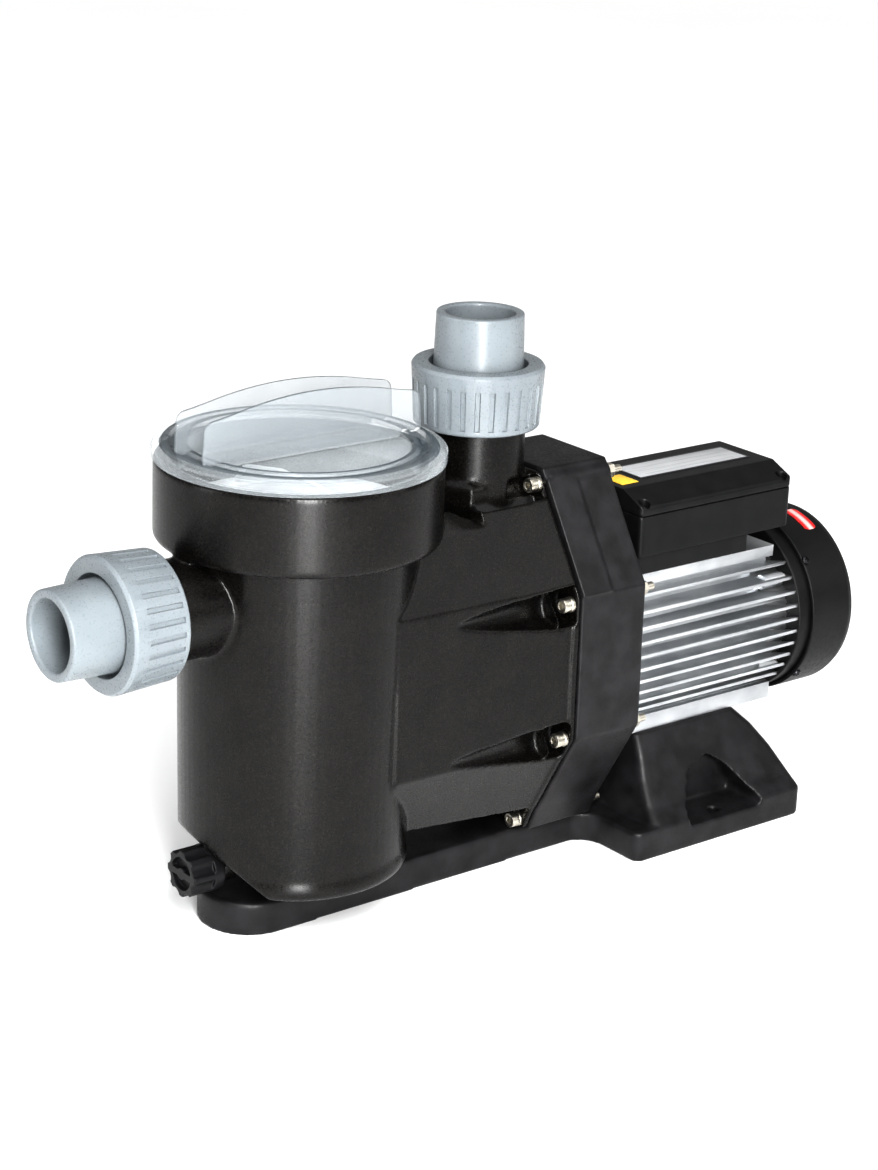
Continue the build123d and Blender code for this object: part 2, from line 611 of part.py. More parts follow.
def box_plan(half, x0, x1):
    return [(x0, -half), (x1, -half), (x1, half), (x0, half)]


def box_floor_plan(inset=0.0):
    """The box's outline seen from above, drawn in by an inset."""
    return box_plan(BOX_HALF_WIDTH - inset, BOX_FRONT_X + inset, BOX_BACK_X - inset)


def terminal_riser():
    """Hollow riser between the motor's platform and the terminal box."""
    body = prism_z(box_plan(47.5, 112.0, 247.0), PLATFORM_Z, BOX_LOW_Z, 4.0)
    return body - block(150.0, 232.0, -36.0, 36.0, PLATFORM_Z - 1, BOX_LOW_Z + 1)


def terminal_box_base():
    body = prism_z(box_floor_plan(), BOX_LOW_Z, BOX_JOINT_Z, 4.0)
    body -= prism_z(box_floor_plan(BOX_WALL), BOX_LOW_Z + BOX_WALL, BOX_JOINT_Z + 1, 3.0)
    posts = [rod_z(5.5, BOX_LOW_Z, BOX_JOINT_Z, x, y) for x, y in box_screw_places()]
    body = joined([body] + posts)
    cuts = [rod_z(1.8, BOX_JOINT_Z - 16, BOX_JOINT_Z + 1, x, y) for x, y in box_screw_places()]
    cuts += [rod_z(8.0, BOX_LOW_Z - 1, BOX_LOW_Z + 5, 172.0)]
    cuts += [rod_y(7.0, 40.0, 60.0, GLAND_X, GLAND_Z)]
    return body.cut(*cuts)


def lid_section(low, inset=0.0):
    """The lid's section as (Y, Z), drawn in by an inset."""
    half = BOX_HALF_WIDTH - inset
    top = BOX_TOP_Z - inset
    side = [(half, low), (half, 266.6 - inset), (half - 1.4, 269.0 - inset)]
    return mirrored(side + [(half - 6.0, 271.0 - inset), (PLATEAU_HALF_WIDTH - 0.5 * inset, top)])


def terminal_box_lid():
    body = prism_x(lid_section(BOX_JOINT_Z + BOX_GAP), BOX_FRONT_X, BOX_BACK_X)
    body = fillet(body.edges().filter_by(Axis.Z), 4.0)
    body += prism_z(box_floor_plan(0.8), BOX_JOINT_Z, BOX_JOINT_Z + BOX_GAP + 1, 3.4)
    section = lid_section(BOX_JOINT_Z - 1, BOX_WALL)
    hollow = prism_x(section, BOX_FRONT_X + BOX_WALL, BOX_BACK_X - BOX_WALL)
    hollow -= joined([rod_z(6.0, 240.0, 290.0, x, y) for x, y in box_screw_places()])
    cuts = [hollow]
    for x, y in box_screw_places():
        cuts += [rod_z(4.6, BOX_SCREW_Z, 290.0, x, y), rod_z(2.2, 250.0, BOX_SCREW_Z + 1, x, y)]
    return body.cut(*cuts)


def nameplate():
    return prism_z(box_plan(17.0, 157.0, 273.0), BOX_TOP_Z, BOX_TOP_Z + 0.4, 1.5)


def warning_label():
    """Thin label on the lid's flat top, near the bracket."""
    return block(134.0, 151.0, -22.0, 0.0, BOX_TOP_Z, BOX_TOP_Z + 0.4)


def cover_sticker():
    """Red label that follows the top of the fan cover."""
    body = ring_x(COVER_R + 0.05, COVER_R + 0.4, 322.0, 334.0)
    wedge = [(0.0, 0.0), (11.0, 80.0), (46.0, 80.0)]
    return body & (Pos(0, 0, SHAFT_Z) * prism_x([(-y, z) for y, z in wedge], 310.0, 345.0))


def capacitor():
    body = rod_x(15.0, 190.0, 262.0, y=24.0, z=251.0)
    tabs = [block(186.0, 190.0, 24.0 + s * 5 - 0.4, 24.0 + s * 5 + 0.4, 248.0, 254.0) for s in (-1, 1)]
    return joined([body] + tabs)


def terminal_block():
    body = block(178.0, 196.0, -38.0, -4.0, BOX_LOW_Z + 3, BOX_LOW_Z + 17)
    holes = [rod_z(2.2, 244.0, 260.0, 187.0, -33.5 + 8.4 * n) for n in range(4)]
    slots = [block(170.0, 200.0, -36.0 + 8.4 * n, -31.0 + 8.4 * n, 238.0, 242.0) for n in range(4)]
    return body.cut(*holes, *slots)


def cable_gland():
    body = rod_y(11.0, BOX_HALF_WIDTH, BOX_HALF_WIDTH + 6, GLAND_X, GLAND_Z)
    body += rod_y(9.0, BOX_HALF_WIDTH, BOX_HALF_WIDTH + 12, GLAND_X, GLAND_Z)
    body += rod_y(6.9, BOX_HALF_WIDTH - 6, BOX_HALF_WIDTH + 1, GLAND_X, GLAND_Z)
    return body - rod_y(4.2, 40.0, 80.0, GLAND_X, GLAND_Z)


def gland_nut():
    low, high = BOX_HALF_WIDTH + 12, BOX_HALF_WIDTH + 24
    seat = Pos(GLAND_X, low, GLAND_Z) * Rot(-90, 0, 0)
    body = seat * extrude(RegularPolygon(11.0, 6), 7.0)
    body += Pos(GLAND_X, low + 9.5, GLAND_Z) * Rot(-90, 0, 0) * Cone(9.5, 6.5, 5.0)
    return body - rod_y(4.2, low - 1, high + 1, GLAND_X, GLAND_Z)


# ---- impeller end ----
def diffuser():
    snout = [(-72.0, 22.0), (-72.0, 26.4), (-14.0, 26.4), (-14.0, 63.0), (-10.0, 63.0)]
    snout += [(-10.0, 28.0), (4.0, 28.0), (4.0, EYE_R + 0.5), (-8.0, EYE_R + 0.5), (-8.0, 22.0)]
    pieces = [turned_x(snout)]
    for n in range(9):
        vane = Pos(0, 0, 57.5) * Rot(32, 0, 0) * block(-11.0, 34.0, -1.2, 1.2, -6.0, 6.0)
        pieces += [around_x(vane, 40 * n)]
    pieces += [ring_x(54.0, 62.0, 33.0, 36.0)]
    return joined(pieces)


def impeller():
    back = [(28.0, 6.0), (28.0, IMPELLER_R), (31.0, IMPELLER_R), (31.0, 6.0)]
    front = [(-6.0, 21.5), (-6.0, EYE_R), (6.0, EYE_R), (18.0, IMPELLER_R), (20.5, IMPELLER_R)]
    front += [(20.5, 47.0), (9.0, 22.5)]
    hub = [(12.0, 6.0), (12.0, 9.0), (28.0, 14.0), (28.5, 6.0)]
    pieces = [turned_x(back), turned_x(front), turned_x(hub)]
    for n in range(6):
        vane = Pos(0, 0, 33.0) * Rot(38, 0, 0) * block(17.5, 28.5, -1.3, 1.3, -19.0, 17.5)
        pieces += [around_x(vane, 60 * n)]
    return joined(pieces)


def impeller_cap():
    nose = [(-4.0, 0), (-2.0, 5.0), (4.0, 8.5), (12.0, 8.5)]
    return turned_x(nose + [(12.0, 6.0), (2.0, 6.0), (2.0, 0)])


def seal_head():
    profile = [(31.0, 7.0), (31.0, 15.0), (33.0, 15.5), (35.5, 13.5), (38.0, 13.5), (41.1, 12.0)]
    profile += [(41.1, 8.6), (34.0, 8.6), (34.0, 7.0)]
    return turned_x(profile)


def seal_seat():
    return ring_x(8.8, 15.1, SEAM_X, SEAM_X + 7)


def shaft_slinger():
    return ring_x(7.0, 16.0, 74.0, 77.0) + ring_x(7.0, 10.0, 74.0, 84.0)


def housing_oring():
    return ring_x(68.6, 72.4, SEAM_X, SEAM_X + 2.6)


# ---- unions, made upright with the nut's inner end at zero ----
def union_tail():
    outer = [(PORT_R - 2, 25.9), (39.0, 25.9), (39.0, 36.7), (33.2, 36.7), (32.6, NUT_LENGTH)]
    mouth = [(31.6, TAIL_LENGTH - 0.8), (30.9, TAIL_LENGTH), (SOCKET_R + 0.9, TAIL_LENGTH)]
    socket = [(SOCKET_R, TAIL_LENGTH - 0.9), (SOCKET_R, TAIL_LENGTH - SOCKET_DEPTH)]
    return turned_z(outer + mouth + socket + [(PORT_R - 2, TAIL_LENGTH - SOCKET_DEPTH)])


def union_nut():
    outside = [(THREAD_R + 0.8, 0), (45.0, 0), (45.8, 1.2), (48.3, 42.6), (47.8, 44.1)]
    outside += [(46.4, NUT_LENGTH), (35.75, NUT_LENGTH)]
    inside = [(35.75, 37.0), (THREAD_R + 0.8, 37.0)]
    body = turned_z(outside + inside)
    cuts = []
    for n in range(GRIP_COUNT):
        groove = Pos(47.2, 0, 18.5) * Rot(0, 3.9, 0) * Box(2.6, 5.4, 29.0)
        cuts += [Rot(0, 0, 360 / GRIP_COUNT * n) * groove]
    return body.cut(*cuts)


def union_oring():
    return ring_z(30.3, 34.7, NUT_SEAL_FACE - 2.7, NUT_SEAL_FACE)


def on_suction(shape):
    return Pos(UNION_SUCTION_X, 0, SUCTION_Z) * Rot(0, -90, 0) * shape


def on_discharge(shape):
    return Pos(DISCHARGE_X, 0, UNION_DISCHARGE_Z) * shape


# ---- lid and basket ----
def lid_fin(y):
    half, corner = FIN_HALF_LENGTH, 14.0
    start = Pos(POT_X, y, 0)
    foot_z = 344.0
    left = Line((-half, foot_z), (-half + 2.5, FIN_END_Z - corner))
    shoulder = (-half + 15.0, FIN_END_Z + 1.0)
    bend = TangentArc((-half + 2.5, FIN_END_Z - corner), shoulder, tangent=(0.1, 1))
    crown = ThreePointArc(shoulder, (0, FIN_TOP_Z), (half - 15.0, FIN_END_Z + 1.0))
    right_bend = mirror(bend, Plane.YZ)
    right = mirror(left, Plane.YZ)
    foot = Line((-half, foot_z), (half, foot_z))
    face = make_face([left, bend, crown, right_bend, right, foot])
    sheet = extrude(Plane.XZ * face, FIN_THICKNESS)
    return start * Pos(0, FIN_THICKNESS / 2, 0) * sheet


def strainer_lid():
    low = LID_LOW_Z
    under = [(0, 340.0), (84.5, 340.0), (84.5, 320.0), (88.6, 320.0), (89.2, 324.0), (89.2, low)]
    rim = [(LID_R - 0.8, low), (LID_R, low + 0.8), (LID_R, 345.0), (LID_R - 1.2, 346.0)]
    top = [(97.0, 346.0), (95.0, 348.6), (91.0, 349.0), (88.5, 347.6), (84.0, 347.6), (82.0, 349.2)]
    well = [(78.5, 349.2), (76.5, 345.0), (74.0, 344.4), (0, 344.4)]
    body = turned_z(under + rim + top + well, POT_X)
    return joined([body, lid_fin(FIN_Y), lid_fin(-FIN_Y)])


def lid_oring():
    return ring_z(93.0, 97.0, COLLAR_TOP_Z - 4, COLLAR_TOP_Z - 0.2, POT_X)


def strainer_basket():
    """The basket as a plain tapered cup hung by its rim."""
    top, low, thick = BASKET_SEAT_Z, 90.0, 2.4
    r_top, r_low = 74.0, 62.0
    profile = [(0, low), (r_low, low), (r_top, top), (88.4, top), (88.4, top + 3.0)]
    profile += [(r_top - thick, top + 3.0), (r_low - thick, low + 3.0), (0, low + 3.0)]
    return turned_z(profile, POT_X)


def basket_handle():
    """Flat bridge handle over the basket's mouth, along Y."""
    low = BASKET_SEAT_Z + 3.0
    outer = [(80.0, low), (66.0, low + 16.0), (24.0, low + 23.5)]
    inner = [(74.5, low), (63.5, low + 12.5), (23.5, low + 19.9)]
    frame = prism_x(mirrored(outer), POT_X - 4.0, POT_X + 4.0)
    return frame - prism_x(mirrored(inner), POT_X - 5.0, POT_X + 5.0)


def polar(radius, angle):
    return radius * cos(radians(angle)), radius * sin(radians(angle))


# ---- drain ----
def drain_plug():
    knob = rod_x(17.5, -244.0, -218.0, z=DRAIN_Z)
    cuts = []
    for n in range(8):
        y, z = polar(21.0, 45 * n + 22.5)
        cuts += [rod_x(6.2, -246.0, -226.0, y, DRAIN_Z + z)]
    knob = knob.cut(*cuts)
    face_cut = ring_x(4.5, 12.0, -246.0, -240.0, z=DRAIN_Z)
    wing = block(-246.0, -239.0, -12.5, 12.5, DRAIN_Z - 2.6, DRAIN_Z + 2.6)
    knob -= face_cut - wing
    return knob + rod_x(5.45, -219.0, -196.0, z=DRAIN_Z)


def drain_washer():
    return ring_x(5.7, 10.0, -217.9, DRAIN_SEAT_X, z=DRAIN_Z)


# ---- fasteners ----
def flange_bolts():
    bolt = socket_cap_screw(5.5, 6.8, BOLT_R, 82.0)
    return [Pos(BOLT_FACE_X - 3.4, y, z) * bolt for y, z in both_sides(BOLT_PLACES)]


def flange_washers():
    flat = [ring_x(BOLT_R, 5.9, BOLT_FACE_X - 1.6, BOLT_FACE_X, y, z) for y, z in both_sides(BOLT_PLACES)]
    low, high = BOLT_FACE_X - 3.4, BOLT_FACE_X - 1.6
    spring = [ring_x(BOLT_R, 5.0, low, high, y, z) for y, z in both_sides(BOLT_PLACES)]
    return flat + spring


def flange_nuts():
    nut = hex_nut(5.7, 5.0, BOLT_R)
    seat = BRACKET_BACK_X + 1.6
    plates = [ring_x(BOLT_R, 6.0, BRACKET_BACK_X, seat, y, z) for y, z in both_sides(BOLT_PLACES)]
    return plates + [Pos(seat, y, z) * nut for y, z in both_sides(BOLT_PLACES)]


def motor_screws():
    screw = socket_cap_screw(4.4, 5.0, 2.5, 15.0)
    return [Pos(BRACKET_BACK_X - 7, y, SHAFT_Z + z) * screw for y, z in motor_screw_places()]


def shield_screws():
    screw = pan_screw(4.6, 3.0, 2.5, 24.0)
    return [Pos(294.0, y, SHAFT_Z + z) * Rot(0, 180, 0) * screw for y, z in shield_screw_places()]


def cover_screws():
    screw = Rot(0, 90, 0) * pan_screw(3.6, 2.2, 2.0, 8.0)
    return [around_x(Pos(COVER_FRONT_X + 3.5, 0, COVER_R) * screw, a) for a in cover_screw_angles()]


def box_screws():
    screw = Rot(0, 90, 0) * pan_screw(3.8, 2.4, 1.8, 18.0)
    return [Pos(x, y, BOX_SCREW_Z) * screw for x, y in box_screw_places()]


def saddle_screws():
    screw = Rot(0, -90, 0) * socket_cap_screw(5.0, 6.0, BOLT_R, 25.0)
    return [Pos(x, y, SADDLE_Z - 16) * screw for x, y in saddle_screw_places()]


def bracket_screws():
    screw = Rot(0, -90, 0) * socket_cap_screw(5.0, 6.0, BOLT_R, 23.0)
    return [Pos(x, y, 10.0) * screw for x, y in bracket_screw_places()]


def pot_screw():
    return Pos(POT_X, 0, 12.0) * Rot(0, -90, 0) * socket_cap_screw(6.5, 8.0, 4.0, 26.0)


# ---- every node of the pump ----
NODES = {
    "base": base,
    "strainer_pot": strainer_pot,
    "pump_housing": pump_housing,
    "motor_bracket": motor_bracket,
    "housing_oring": housing_oring,
    "diffuser": diffuser,
    "impeller": impeller,
    "impeller_cap": impeller_cap,
    "seal_head": seal_head,
    "seal_seat": seal_seat,
    "shaft_slinger": shaft_slinger,
    "motor_shaft": motor_shaft,
    "rotor_core": rotor_core,
    "stator_core": stator_core,
    "stator_windings": stator_windings,
    "front_bearing_outer": lambda: bearing_outer(FRONT_BEARING_X),
    "front_bearing_inner": lambda: bearing_inner(FRONT_BEARING_X),
    "rear_bearing_outer": lambda: bearing_outer(REAR_BEARING_X),
    "rear_bearing_inner": lambda: bearing_inner(REAR_BEARING_X),
    "wave_washer": wave_washer,
    "motor_housing": motor_housing,
    "front_end_shield": front_end_shield,
    "rear_end_shield": rear_end_shield,
    "fan": fan,
    "fan_cover": fan_cover,
    "cover_sticker": cover_sticker,
    "terminal_riser": terminal_riser,
    "terminal_box_base": terminal_box_base,
    "terminal_box_lid": terminal_box_lid,
    "nameplate": nameplate,
    "warning_label": warning_label,
    "capacitor": capacitor,
    "terminal_block": terminal_block,
    "cable_gland": cable_gland,
    "gland_nut": gland_nut,
    "suction_tail": lambda: on_suction(union_tail()),
    "suction_nut": lambda: on_suction(union_nut()),
    "suction_oring": lambda: on_suction(union_oring()),
    "discharge_tail": lambda: on_discharge(union_tail()),
    "discharge_nut": lambda: on_discharge(union_nut()),
    "discharge_oring": lambda: on_discharge(union_oring()),
    "strainer_lid": strainer_lid,
    "lid_oring": lid_oring,
    "strainer_basket": strainer_basket,
    "basket_handle": basket_handle,
    "drain_plug": drain_plug,
    "drain_washer": drain_washer,
    "flange_bolts": flange_bolts,
    "flange_washers": flange_washers,
    "flange_nuts": flange_nuts,
    "motor_screws": motor_screws,
    "shield_screws": shield_screws,
    "cover_screws": cover_screws,
    "box_screws": box_screws,
    "saddle_screws": saddle_screws,
    "bracket_screws": bracket_screws,
    "pot_screw": pot_screw,
}

os.makedirs("parts", exist_ok=True)
for name, make in NODES.items():
    shape = make()
    if isinstance(shape, list):
        shape = Compound(children=[piece.solid() for piece in shape])
    export_step(shape, f"parts/{name}.step")
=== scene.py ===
import json
from math import asin, cos, pi, radians, sin, sqrt, tan

import bmesh
import bpy
from mathutils import Matrix, Quaternion, Vector


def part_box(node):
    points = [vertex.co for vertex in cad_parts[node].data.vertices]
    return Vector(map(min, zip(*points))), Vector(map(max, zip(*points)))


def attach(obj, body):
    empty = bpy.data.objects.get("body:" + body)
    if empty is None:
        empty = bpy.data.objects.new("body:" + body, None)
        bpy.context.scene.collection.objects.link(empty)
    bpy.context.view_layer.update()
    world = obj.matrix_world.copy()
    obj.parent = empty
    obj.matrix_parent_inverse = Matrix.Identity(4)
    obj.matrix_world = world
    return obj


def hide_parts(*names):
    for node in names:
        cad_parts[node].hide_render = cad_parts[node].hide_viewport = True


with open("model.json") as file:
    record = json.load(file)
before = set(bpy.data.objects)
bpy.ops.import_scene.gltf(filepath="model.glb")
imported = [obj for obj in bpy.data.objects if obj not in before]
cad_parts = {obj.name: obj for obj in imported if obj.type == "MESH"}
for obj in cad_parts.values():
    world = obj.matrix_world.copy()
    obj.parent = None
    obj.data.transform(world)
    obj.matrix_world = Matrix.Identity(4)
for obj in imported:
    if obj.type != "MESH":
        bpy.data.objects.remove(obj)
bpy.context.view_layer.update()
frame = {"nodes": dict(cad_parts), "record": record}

MM = 0.001
BODY_OF = {node: body for body, nodes in frame["record"]["behaviour"]["bodies"].items() for node in nodes}


low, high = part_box("motor_shaft")
SHAFT = (low + high) / 2


# ---- materials ----
class Finish:
    """A procedural material: textures in the object's own coordinates around one shader.

    The colour and roughness given here hold until a texture is joined in their place.
    """

    def __init__(self, name, colour, roughness, **settings):
        self.material = bpy.data.materials.new(name)
        self.material.use_nodes = True
        self.nodes = self.material.node_tree.nodes
        self.links = self.material.node_tree.links
        self.shader = self.nodes["Principled BSDF"]
        self.shader.inputs["Base Color"].default_value = (*colour, 1)
        self.shader.inputs["Roughness"].default_value = roughness
        for socket, value in settings.items():
            self.shader.inputs[socket.replace("_", " ")].default_value = value
        self.place = self.nodes.new("ShaderNodeTexCoord").outputs["Object"]
        self.height = None

    def join(self, source, socket):
        if hasattr(source, "is_output"):
            self.links.new(source, socket)
        else:
            socket.default_value = source

    def stretched(self, scale):
        """The coordinates scaled along each axis, for grain that runs one way."""
        mapping = self.nodes.new("ShaderNodeMapping")
        mapping.inputs["Scale"].default_value = scale
        self.links.new(self.place, mapping.inputs["Vector"])
        return mapping.outputs["Vector"]

    def noise(self, size, detail=2.0, rough=0.5, stretch=None):
        """Soft noise whose blotches are about this many metres across."""
        node = self.nodes.new("ShaderNodeTexNoise")
        node.inputs["Scale"].default_value = 0.5 / size
        node.inputs["Detail"].default_value = detail
        node.inputs["Roughness"].default_value = rough
        self.links.new(self.stretched(stretch) if stretch else self.place, node.inputs["Vector"])
        return node.outputs["Fac"]

    def grains(self, size):
        """Cells with a random shade each, like fillers and flakes near the surface."""
        node = self.nodes.new("ShaderNodeTexVoronoi")
        node.inputs["Scale"].default_value = 1 / size
        self.links.new(self.place, node.inputs["Vector"])
        return node.outputs["Color"]

    def range(self, source, low, high, start=0.35, end=0.65):
        """Maps the source, from start to end, onto low to high."""
        node = self.nodes.new("ShaderNodeMapRange")
        node.inputs["From Min"].default_value = start
        node.inputs["From Max"].default_value = end
        node.inputs["To Min"].default_value = low
        node.inputs["To Max"].default_value = high
        self.links.new(source, node.inputs["Value"])
        return node.outputs["Result"]

    def mix(self, factor, dark, light):
        node = self.nodes.new("ShaderNodeMix")
        node.data_type = "RGBA"
        self.join(factor, node.inputs["Factor"])
        for value, socket in ((dark, node.inputs[6]), (light, node.inputs[7])):
            self.join(value if hasattr(value, "is_output") else (*value, 1), socket)
        return node.outputs[2]

    def maths(self, operation, first, second=0.0):
        node = self.nodes.new("ShaderNodeMath")
        node.operation = operation
        self.join(first, node.inputs[0])
        self.join(second, node.inputs[1])
        return node.outputs[0]

    def axis(self, name):
        node = self.nodes.new("ShaderNodeSeparateXYZ")
        self.links.new(self.place, node.inputs[0])
        return node.outputs[name]

    def colour(self, source):
        self.join(source, self.shader.inputs["Base Color"])
        return self

    def roughness(self, source):
        self.join(source, self.shader.inputs["Roughness"])
        return self

    def bump(self, source, strength, depth):
        """Adds relief of this depth in metres on top of any relief before it."""
        node = self.nodes.new("ShaderNodeBump")
        node.inputs["Strength"].default_value = strength
        node.inputs["Distance"].default_value = depth
        self.links.new(source, node.inputs["Height"])
        if self.height is not None:
            self.links.new(self.height, node.inputs["Normal"])
        self.height = node.outputs["Normal"]
        self.links.new(self.height, self.shader.inputs["Normal"])
        return self


def moulded_plastic(name, dark, light, smooth, rough, grain, relief, specular=0.5):
    """Filled plastic: mottled colour, a fine grain that sparkles, and a slight waviness."""
    finish = Finish(name, dark, rough, Specular_IOR_Level=specular)
    mottle = finish.noise(9 * MM, detail=4)
    fine = finish.noise(grain, detail=2, rough=0.7)
    finish.colour(finish.mix(finish.range(mottle, 0, 1), dark, light))
    finish.roughness(finish.range(fine, smooth, rough))
    finish.bump(fine, relief, 0.12 * MM)
    finish.bump(finish.noise(25 * MM, detail=1), 0.15, 0.5 * MM)
    return finish.material


def pot_plastic():
    finish = Finish("pot_plastic", (0.009, 0.0085, 0.008), 0.3, Specular_IOR_Level=0.33,
                    Anisotropic=0.65, Anisotropic_Rotation=0.25)
    upright = finish.nodes.new("ShaderNodeTangent")
    upright.direction_type = "RADIAL"
    upright.axis = "Z"
    finish.join(upright.outputs["Tangent"], finish.shader.inputs["Tangent"])
    flakes = finish.grains(0.9 * MM)
    fine = finish.noise(0.8 * MM, detail=2, rough=0.7)
    mottle = finish.noise(14 * MM, detail=3)
    body = finish.mix(finish.range(mottle, 0, 1), (0.0022, 0.0019, 0.0017), (0.0046, 0.0041, 0.0037))
    sparkle = finish.range(finish.maths("MULTIPLY", flakes, fine), 0, 0.5, 0.33, 0.55)
    finish.colour(finish.mix(sparkle, body, (0.024, 0.021, 0.018)))
    finish.roughness(finish.range(fine, 0.25, 0.33))
    finish.bump(fine, 0.28, 0.1 * MM)
    finish.bump(finish.noise(30 * MM, detail=1), 0.12, 0.5 * MM)
    return finish.material


def bracket_plastic():
    return moulded_plastic("bracket_plastic", (0.007, 0.0066, 0.0073), (0.017, 0.016, 0.0175),
                           0.36, 0.5, 1.1 * MM, 0.3, 0.36)


def box_plastic():
    return moulded_plastic("box_plastic", (0.005, 0.005, 0.0055), (0.009, 0.009, 0.0095),
                           0.32, 0.4, 0.6 * MM, 0.15, 0.26)


def knob_plastic():
    return moulded_plastic("knob_plastic", (0.006, 0.006, 0.007), (0.011, 0.011, 0.012),
                           0.32, 0.44, 0.7 * MM, 0.22, 0.28)


def pvc():
    finish = Finish("pvc", (0.53, 0.59, 0.65), 0.32, Subsurface_Weight=0.06,
                    Subsurface_Radius=(0.004, 0.004, 0.005), Specular_IOR_Level=0.45)
    cloud = finish.noise(16 * MM, detail=3)
    fine = finish.noise(0.8 * MM, detail=2)
    finish.colour(finish.mix(finish.range(cloud, 0, 1), (0.168, 0.186, 0.198), (0.190, 0.210, 0.222)))
    finish.roughness(finish.range(fine, 0.26, 0.38))
    finish.bump(fine, 0.08, 0.06 * MM)
    finish.bump(finish.noise(18 * MM, detail=1), 0.12, 0.4 * MM)
    return finish.material


LID_TOP_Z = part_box("strainer_lid")[1].z
# Above this height the lid's colour is a darker painted shade, on its handles and rings.
LID_FIN_Z = LID_TOP_Z - 41.4 * MM        # the lid's handles and rings stand above this height


def clear_plastic():
    """Clear plastic: see-through where it faces the eye, with painted light on the disc where it faces the
    eye, a grey-blue painted shade along its edges, and a darker painted shade on its handles and rings.
    """
    finish = Finish("clear_plastic", (0.62, 0.71, 0.77), 0.05, IOR=1.46, Specular_IOR_Level=0.22)
    haze = finish.noise(20 * MM, detail=3)
    edge = finish.nodes.new("ShaderNodeLayerWeight")
    edge.inputs["Blend"].default_value = 0.5
    rim = edge.outputs["Facing"]
    # Painted light and shade: the disc is painted light where it faces the eye and painted a dark grey-blue
    # along its edges.
    disc_painted_light_and_shade = finish.mix(finish.range(rim, 0, 1, 0.72, 0.95), (0.78, 0.825, 0.85), (0.07, 0.10, 0.125))
    # Painted shade: the handles and rings are painted a darker grey, darkest along their edges.
    handle_painted_shade = finish.mix(finish.range(rim, 0, 1, 0.35, 0.8), (0.30, 0.325, 0.34), (0.02, 0.033, 0.042))
    above = finish.maths("GREATER_THAN", finish.axis("Z"), LID_FIN_Z)
    # The handles' painted shade takes the place of the disc's painted light above LID_FIN_Z.
    finish.colour(finish.mix(above, disc_painted_light_and_shade, handle_painted_shade))
    disc_veil = finish.maths("MAXIMUM", finish.range(rim, 0.05, 0.27, 0.3, 0.66),
                             finish.range(rim, 0.10, 0.85, 0.72, 0.95))
    fin_veil = finish.range(rim, 0.32, 0.9, 0.4, 0.72)
    extra = finish.maths("MULTIPLY", above, finish.maths("SUBTRACT", fin_veil, disc_veil))
    veil = finish.maths("ADD", disc_veil, extra)
    finish.join(finish.maths("MULTIPLY", veil, finish.range(haze, 0.9, 1.1)), finish.shader.inputs["Alpha"])
    finish.roughness(finish.range(haze, 0.03, 0.08))
    finish.bump(finish.noise(12 * MM, detail=2), 0.1, 0.3 * MM)
    return finish.material


def basket_plastic():
    return moulded_plastic("basket_plastic", (0.70, 0.73, 0.76), (0.82, 0.84, 0.86),
                           0.34, 0.46, 1.0 * MM, 0.1)


def impeller_plastic():
    return moulded_plastic("impeller_plastic", (0.05, 0.05, 0.052), (0.075, 0.075, 0.078),
                           0.4, 0.52, 0.9 * MM, 0.15)


def terminal_plastic():
    return moulded_plastic("terminal_plastic", (0.42, 0.40, 0.35), (0.5, 0.48, 0.43),
                           0.4, 0.5, 0.8 * MM, 0.12)


def rubber():
    return moulded_plastic("rubber", (0.008, 0.008, 0.009), (0.016, 0.016, 0.017),
                           0.55, 0.75, 0.7 * MM, 0.3, 0.35)


def ceramic():
    return moulded_plastic("ceramic", (0.62, 0.60, 0.56), (0.72, 0.70, 0.66),
                           0.18, 0.28, 0.5 * MM, 0.05)


def worked_metal(name, dark, light, smooth, rough, grain, stretch, relief=0.12):
    """Metal with fine lines along the way it was worked and a faint cloudiness."""
    finish = Finish(name, light, rough, Metallic=1.0)
    lines = finish.noise(grain, detail=3, rough=0.65, stretch=stretch)
    cloud = finish.noise(18 * MM, detail=3)
    shade = finish.mix(finish.range(cloud, 0, 1), dark, light)
    finish.colour(finish.mix(finish.range(lines, 0, 0.35), shade, light))
    finish.roughness(finish.range(lines, smooth, rough))
    finish.bump(lines, relief, 0.05 * MM)
    return finish.material


ALONG_X = (0.04, 1, 1)


def aluminium():
    return worked_metal("aluminium", (0.50, 0.515, 0.53), (0.64, 0.65, 0.66),
                        0.34, 0.5, 0.7 * MM, ALONG_X)


def stainless():
    return worked_metal("stainless", (0.46, 0.44, 0.41), (0.66, 0.64, 0.60),
                        0.2, 0.34, 0.3 * MM, (1, 1, 1))


def zinc_plated():
    return worked_metal("zinc_plated", (0.44, 0.42, 0.37), (0.64, 0.61, 0.54),
                        0.26, 0.42, 0.3 * MM, (1, 1, 1))


def blacked_steel():
    return worked_metal("blacked_steel", (0.03, 0.03, 0.032), (0.07, 0.07, 0.075),
                        0.3, 0.45, 0.3 * MM, (1, 1, 1))


def bearing_steel():
    return worked_metal("bearing_steel", (0.5, 0.51, 0.52), (0.68, 0.69, 0.70),
                        0.14, 0.26, 0.3 * MM, (1, 1, 1))


def lamination():
    return worked_metal("lamination", (0.20, 0.20, 0.21), (0.36, 0.36, 0.37),
                        0.4, 0.55, 0.5 * MM, (1, 0.05, 0.05))


def copper():
    return worked_metal("copper", (0.45, 0.17, 0.07), (0.72, 0.32, 0.15),
                        0.28, 0.45, 0.6 * MM, ALONG_X, 0.4)


def black_paint():
    """Stoved paint on sheet steel, with a light orange peel."""
    finish = Finish("black_paint", (0.011, 0.011, 0.012), 0.4, Specular_IOR_Level=0.32)
    peel = finish.noise(1.6 * MM, detail=2)
    cloud = finish.noise(20 * MM, detail=3)
    finish.colour(finish.mix(finish.range(cloud, 0, 1), (0.0045, 0.0044, 0.0048), (0.008, 0.0077, 0.008)))
    finish.roughness(finish.range(peel, 0.36, 0.48))
    finish.bump(peel, 0.16, 0.12 * MM)
    return finish.material


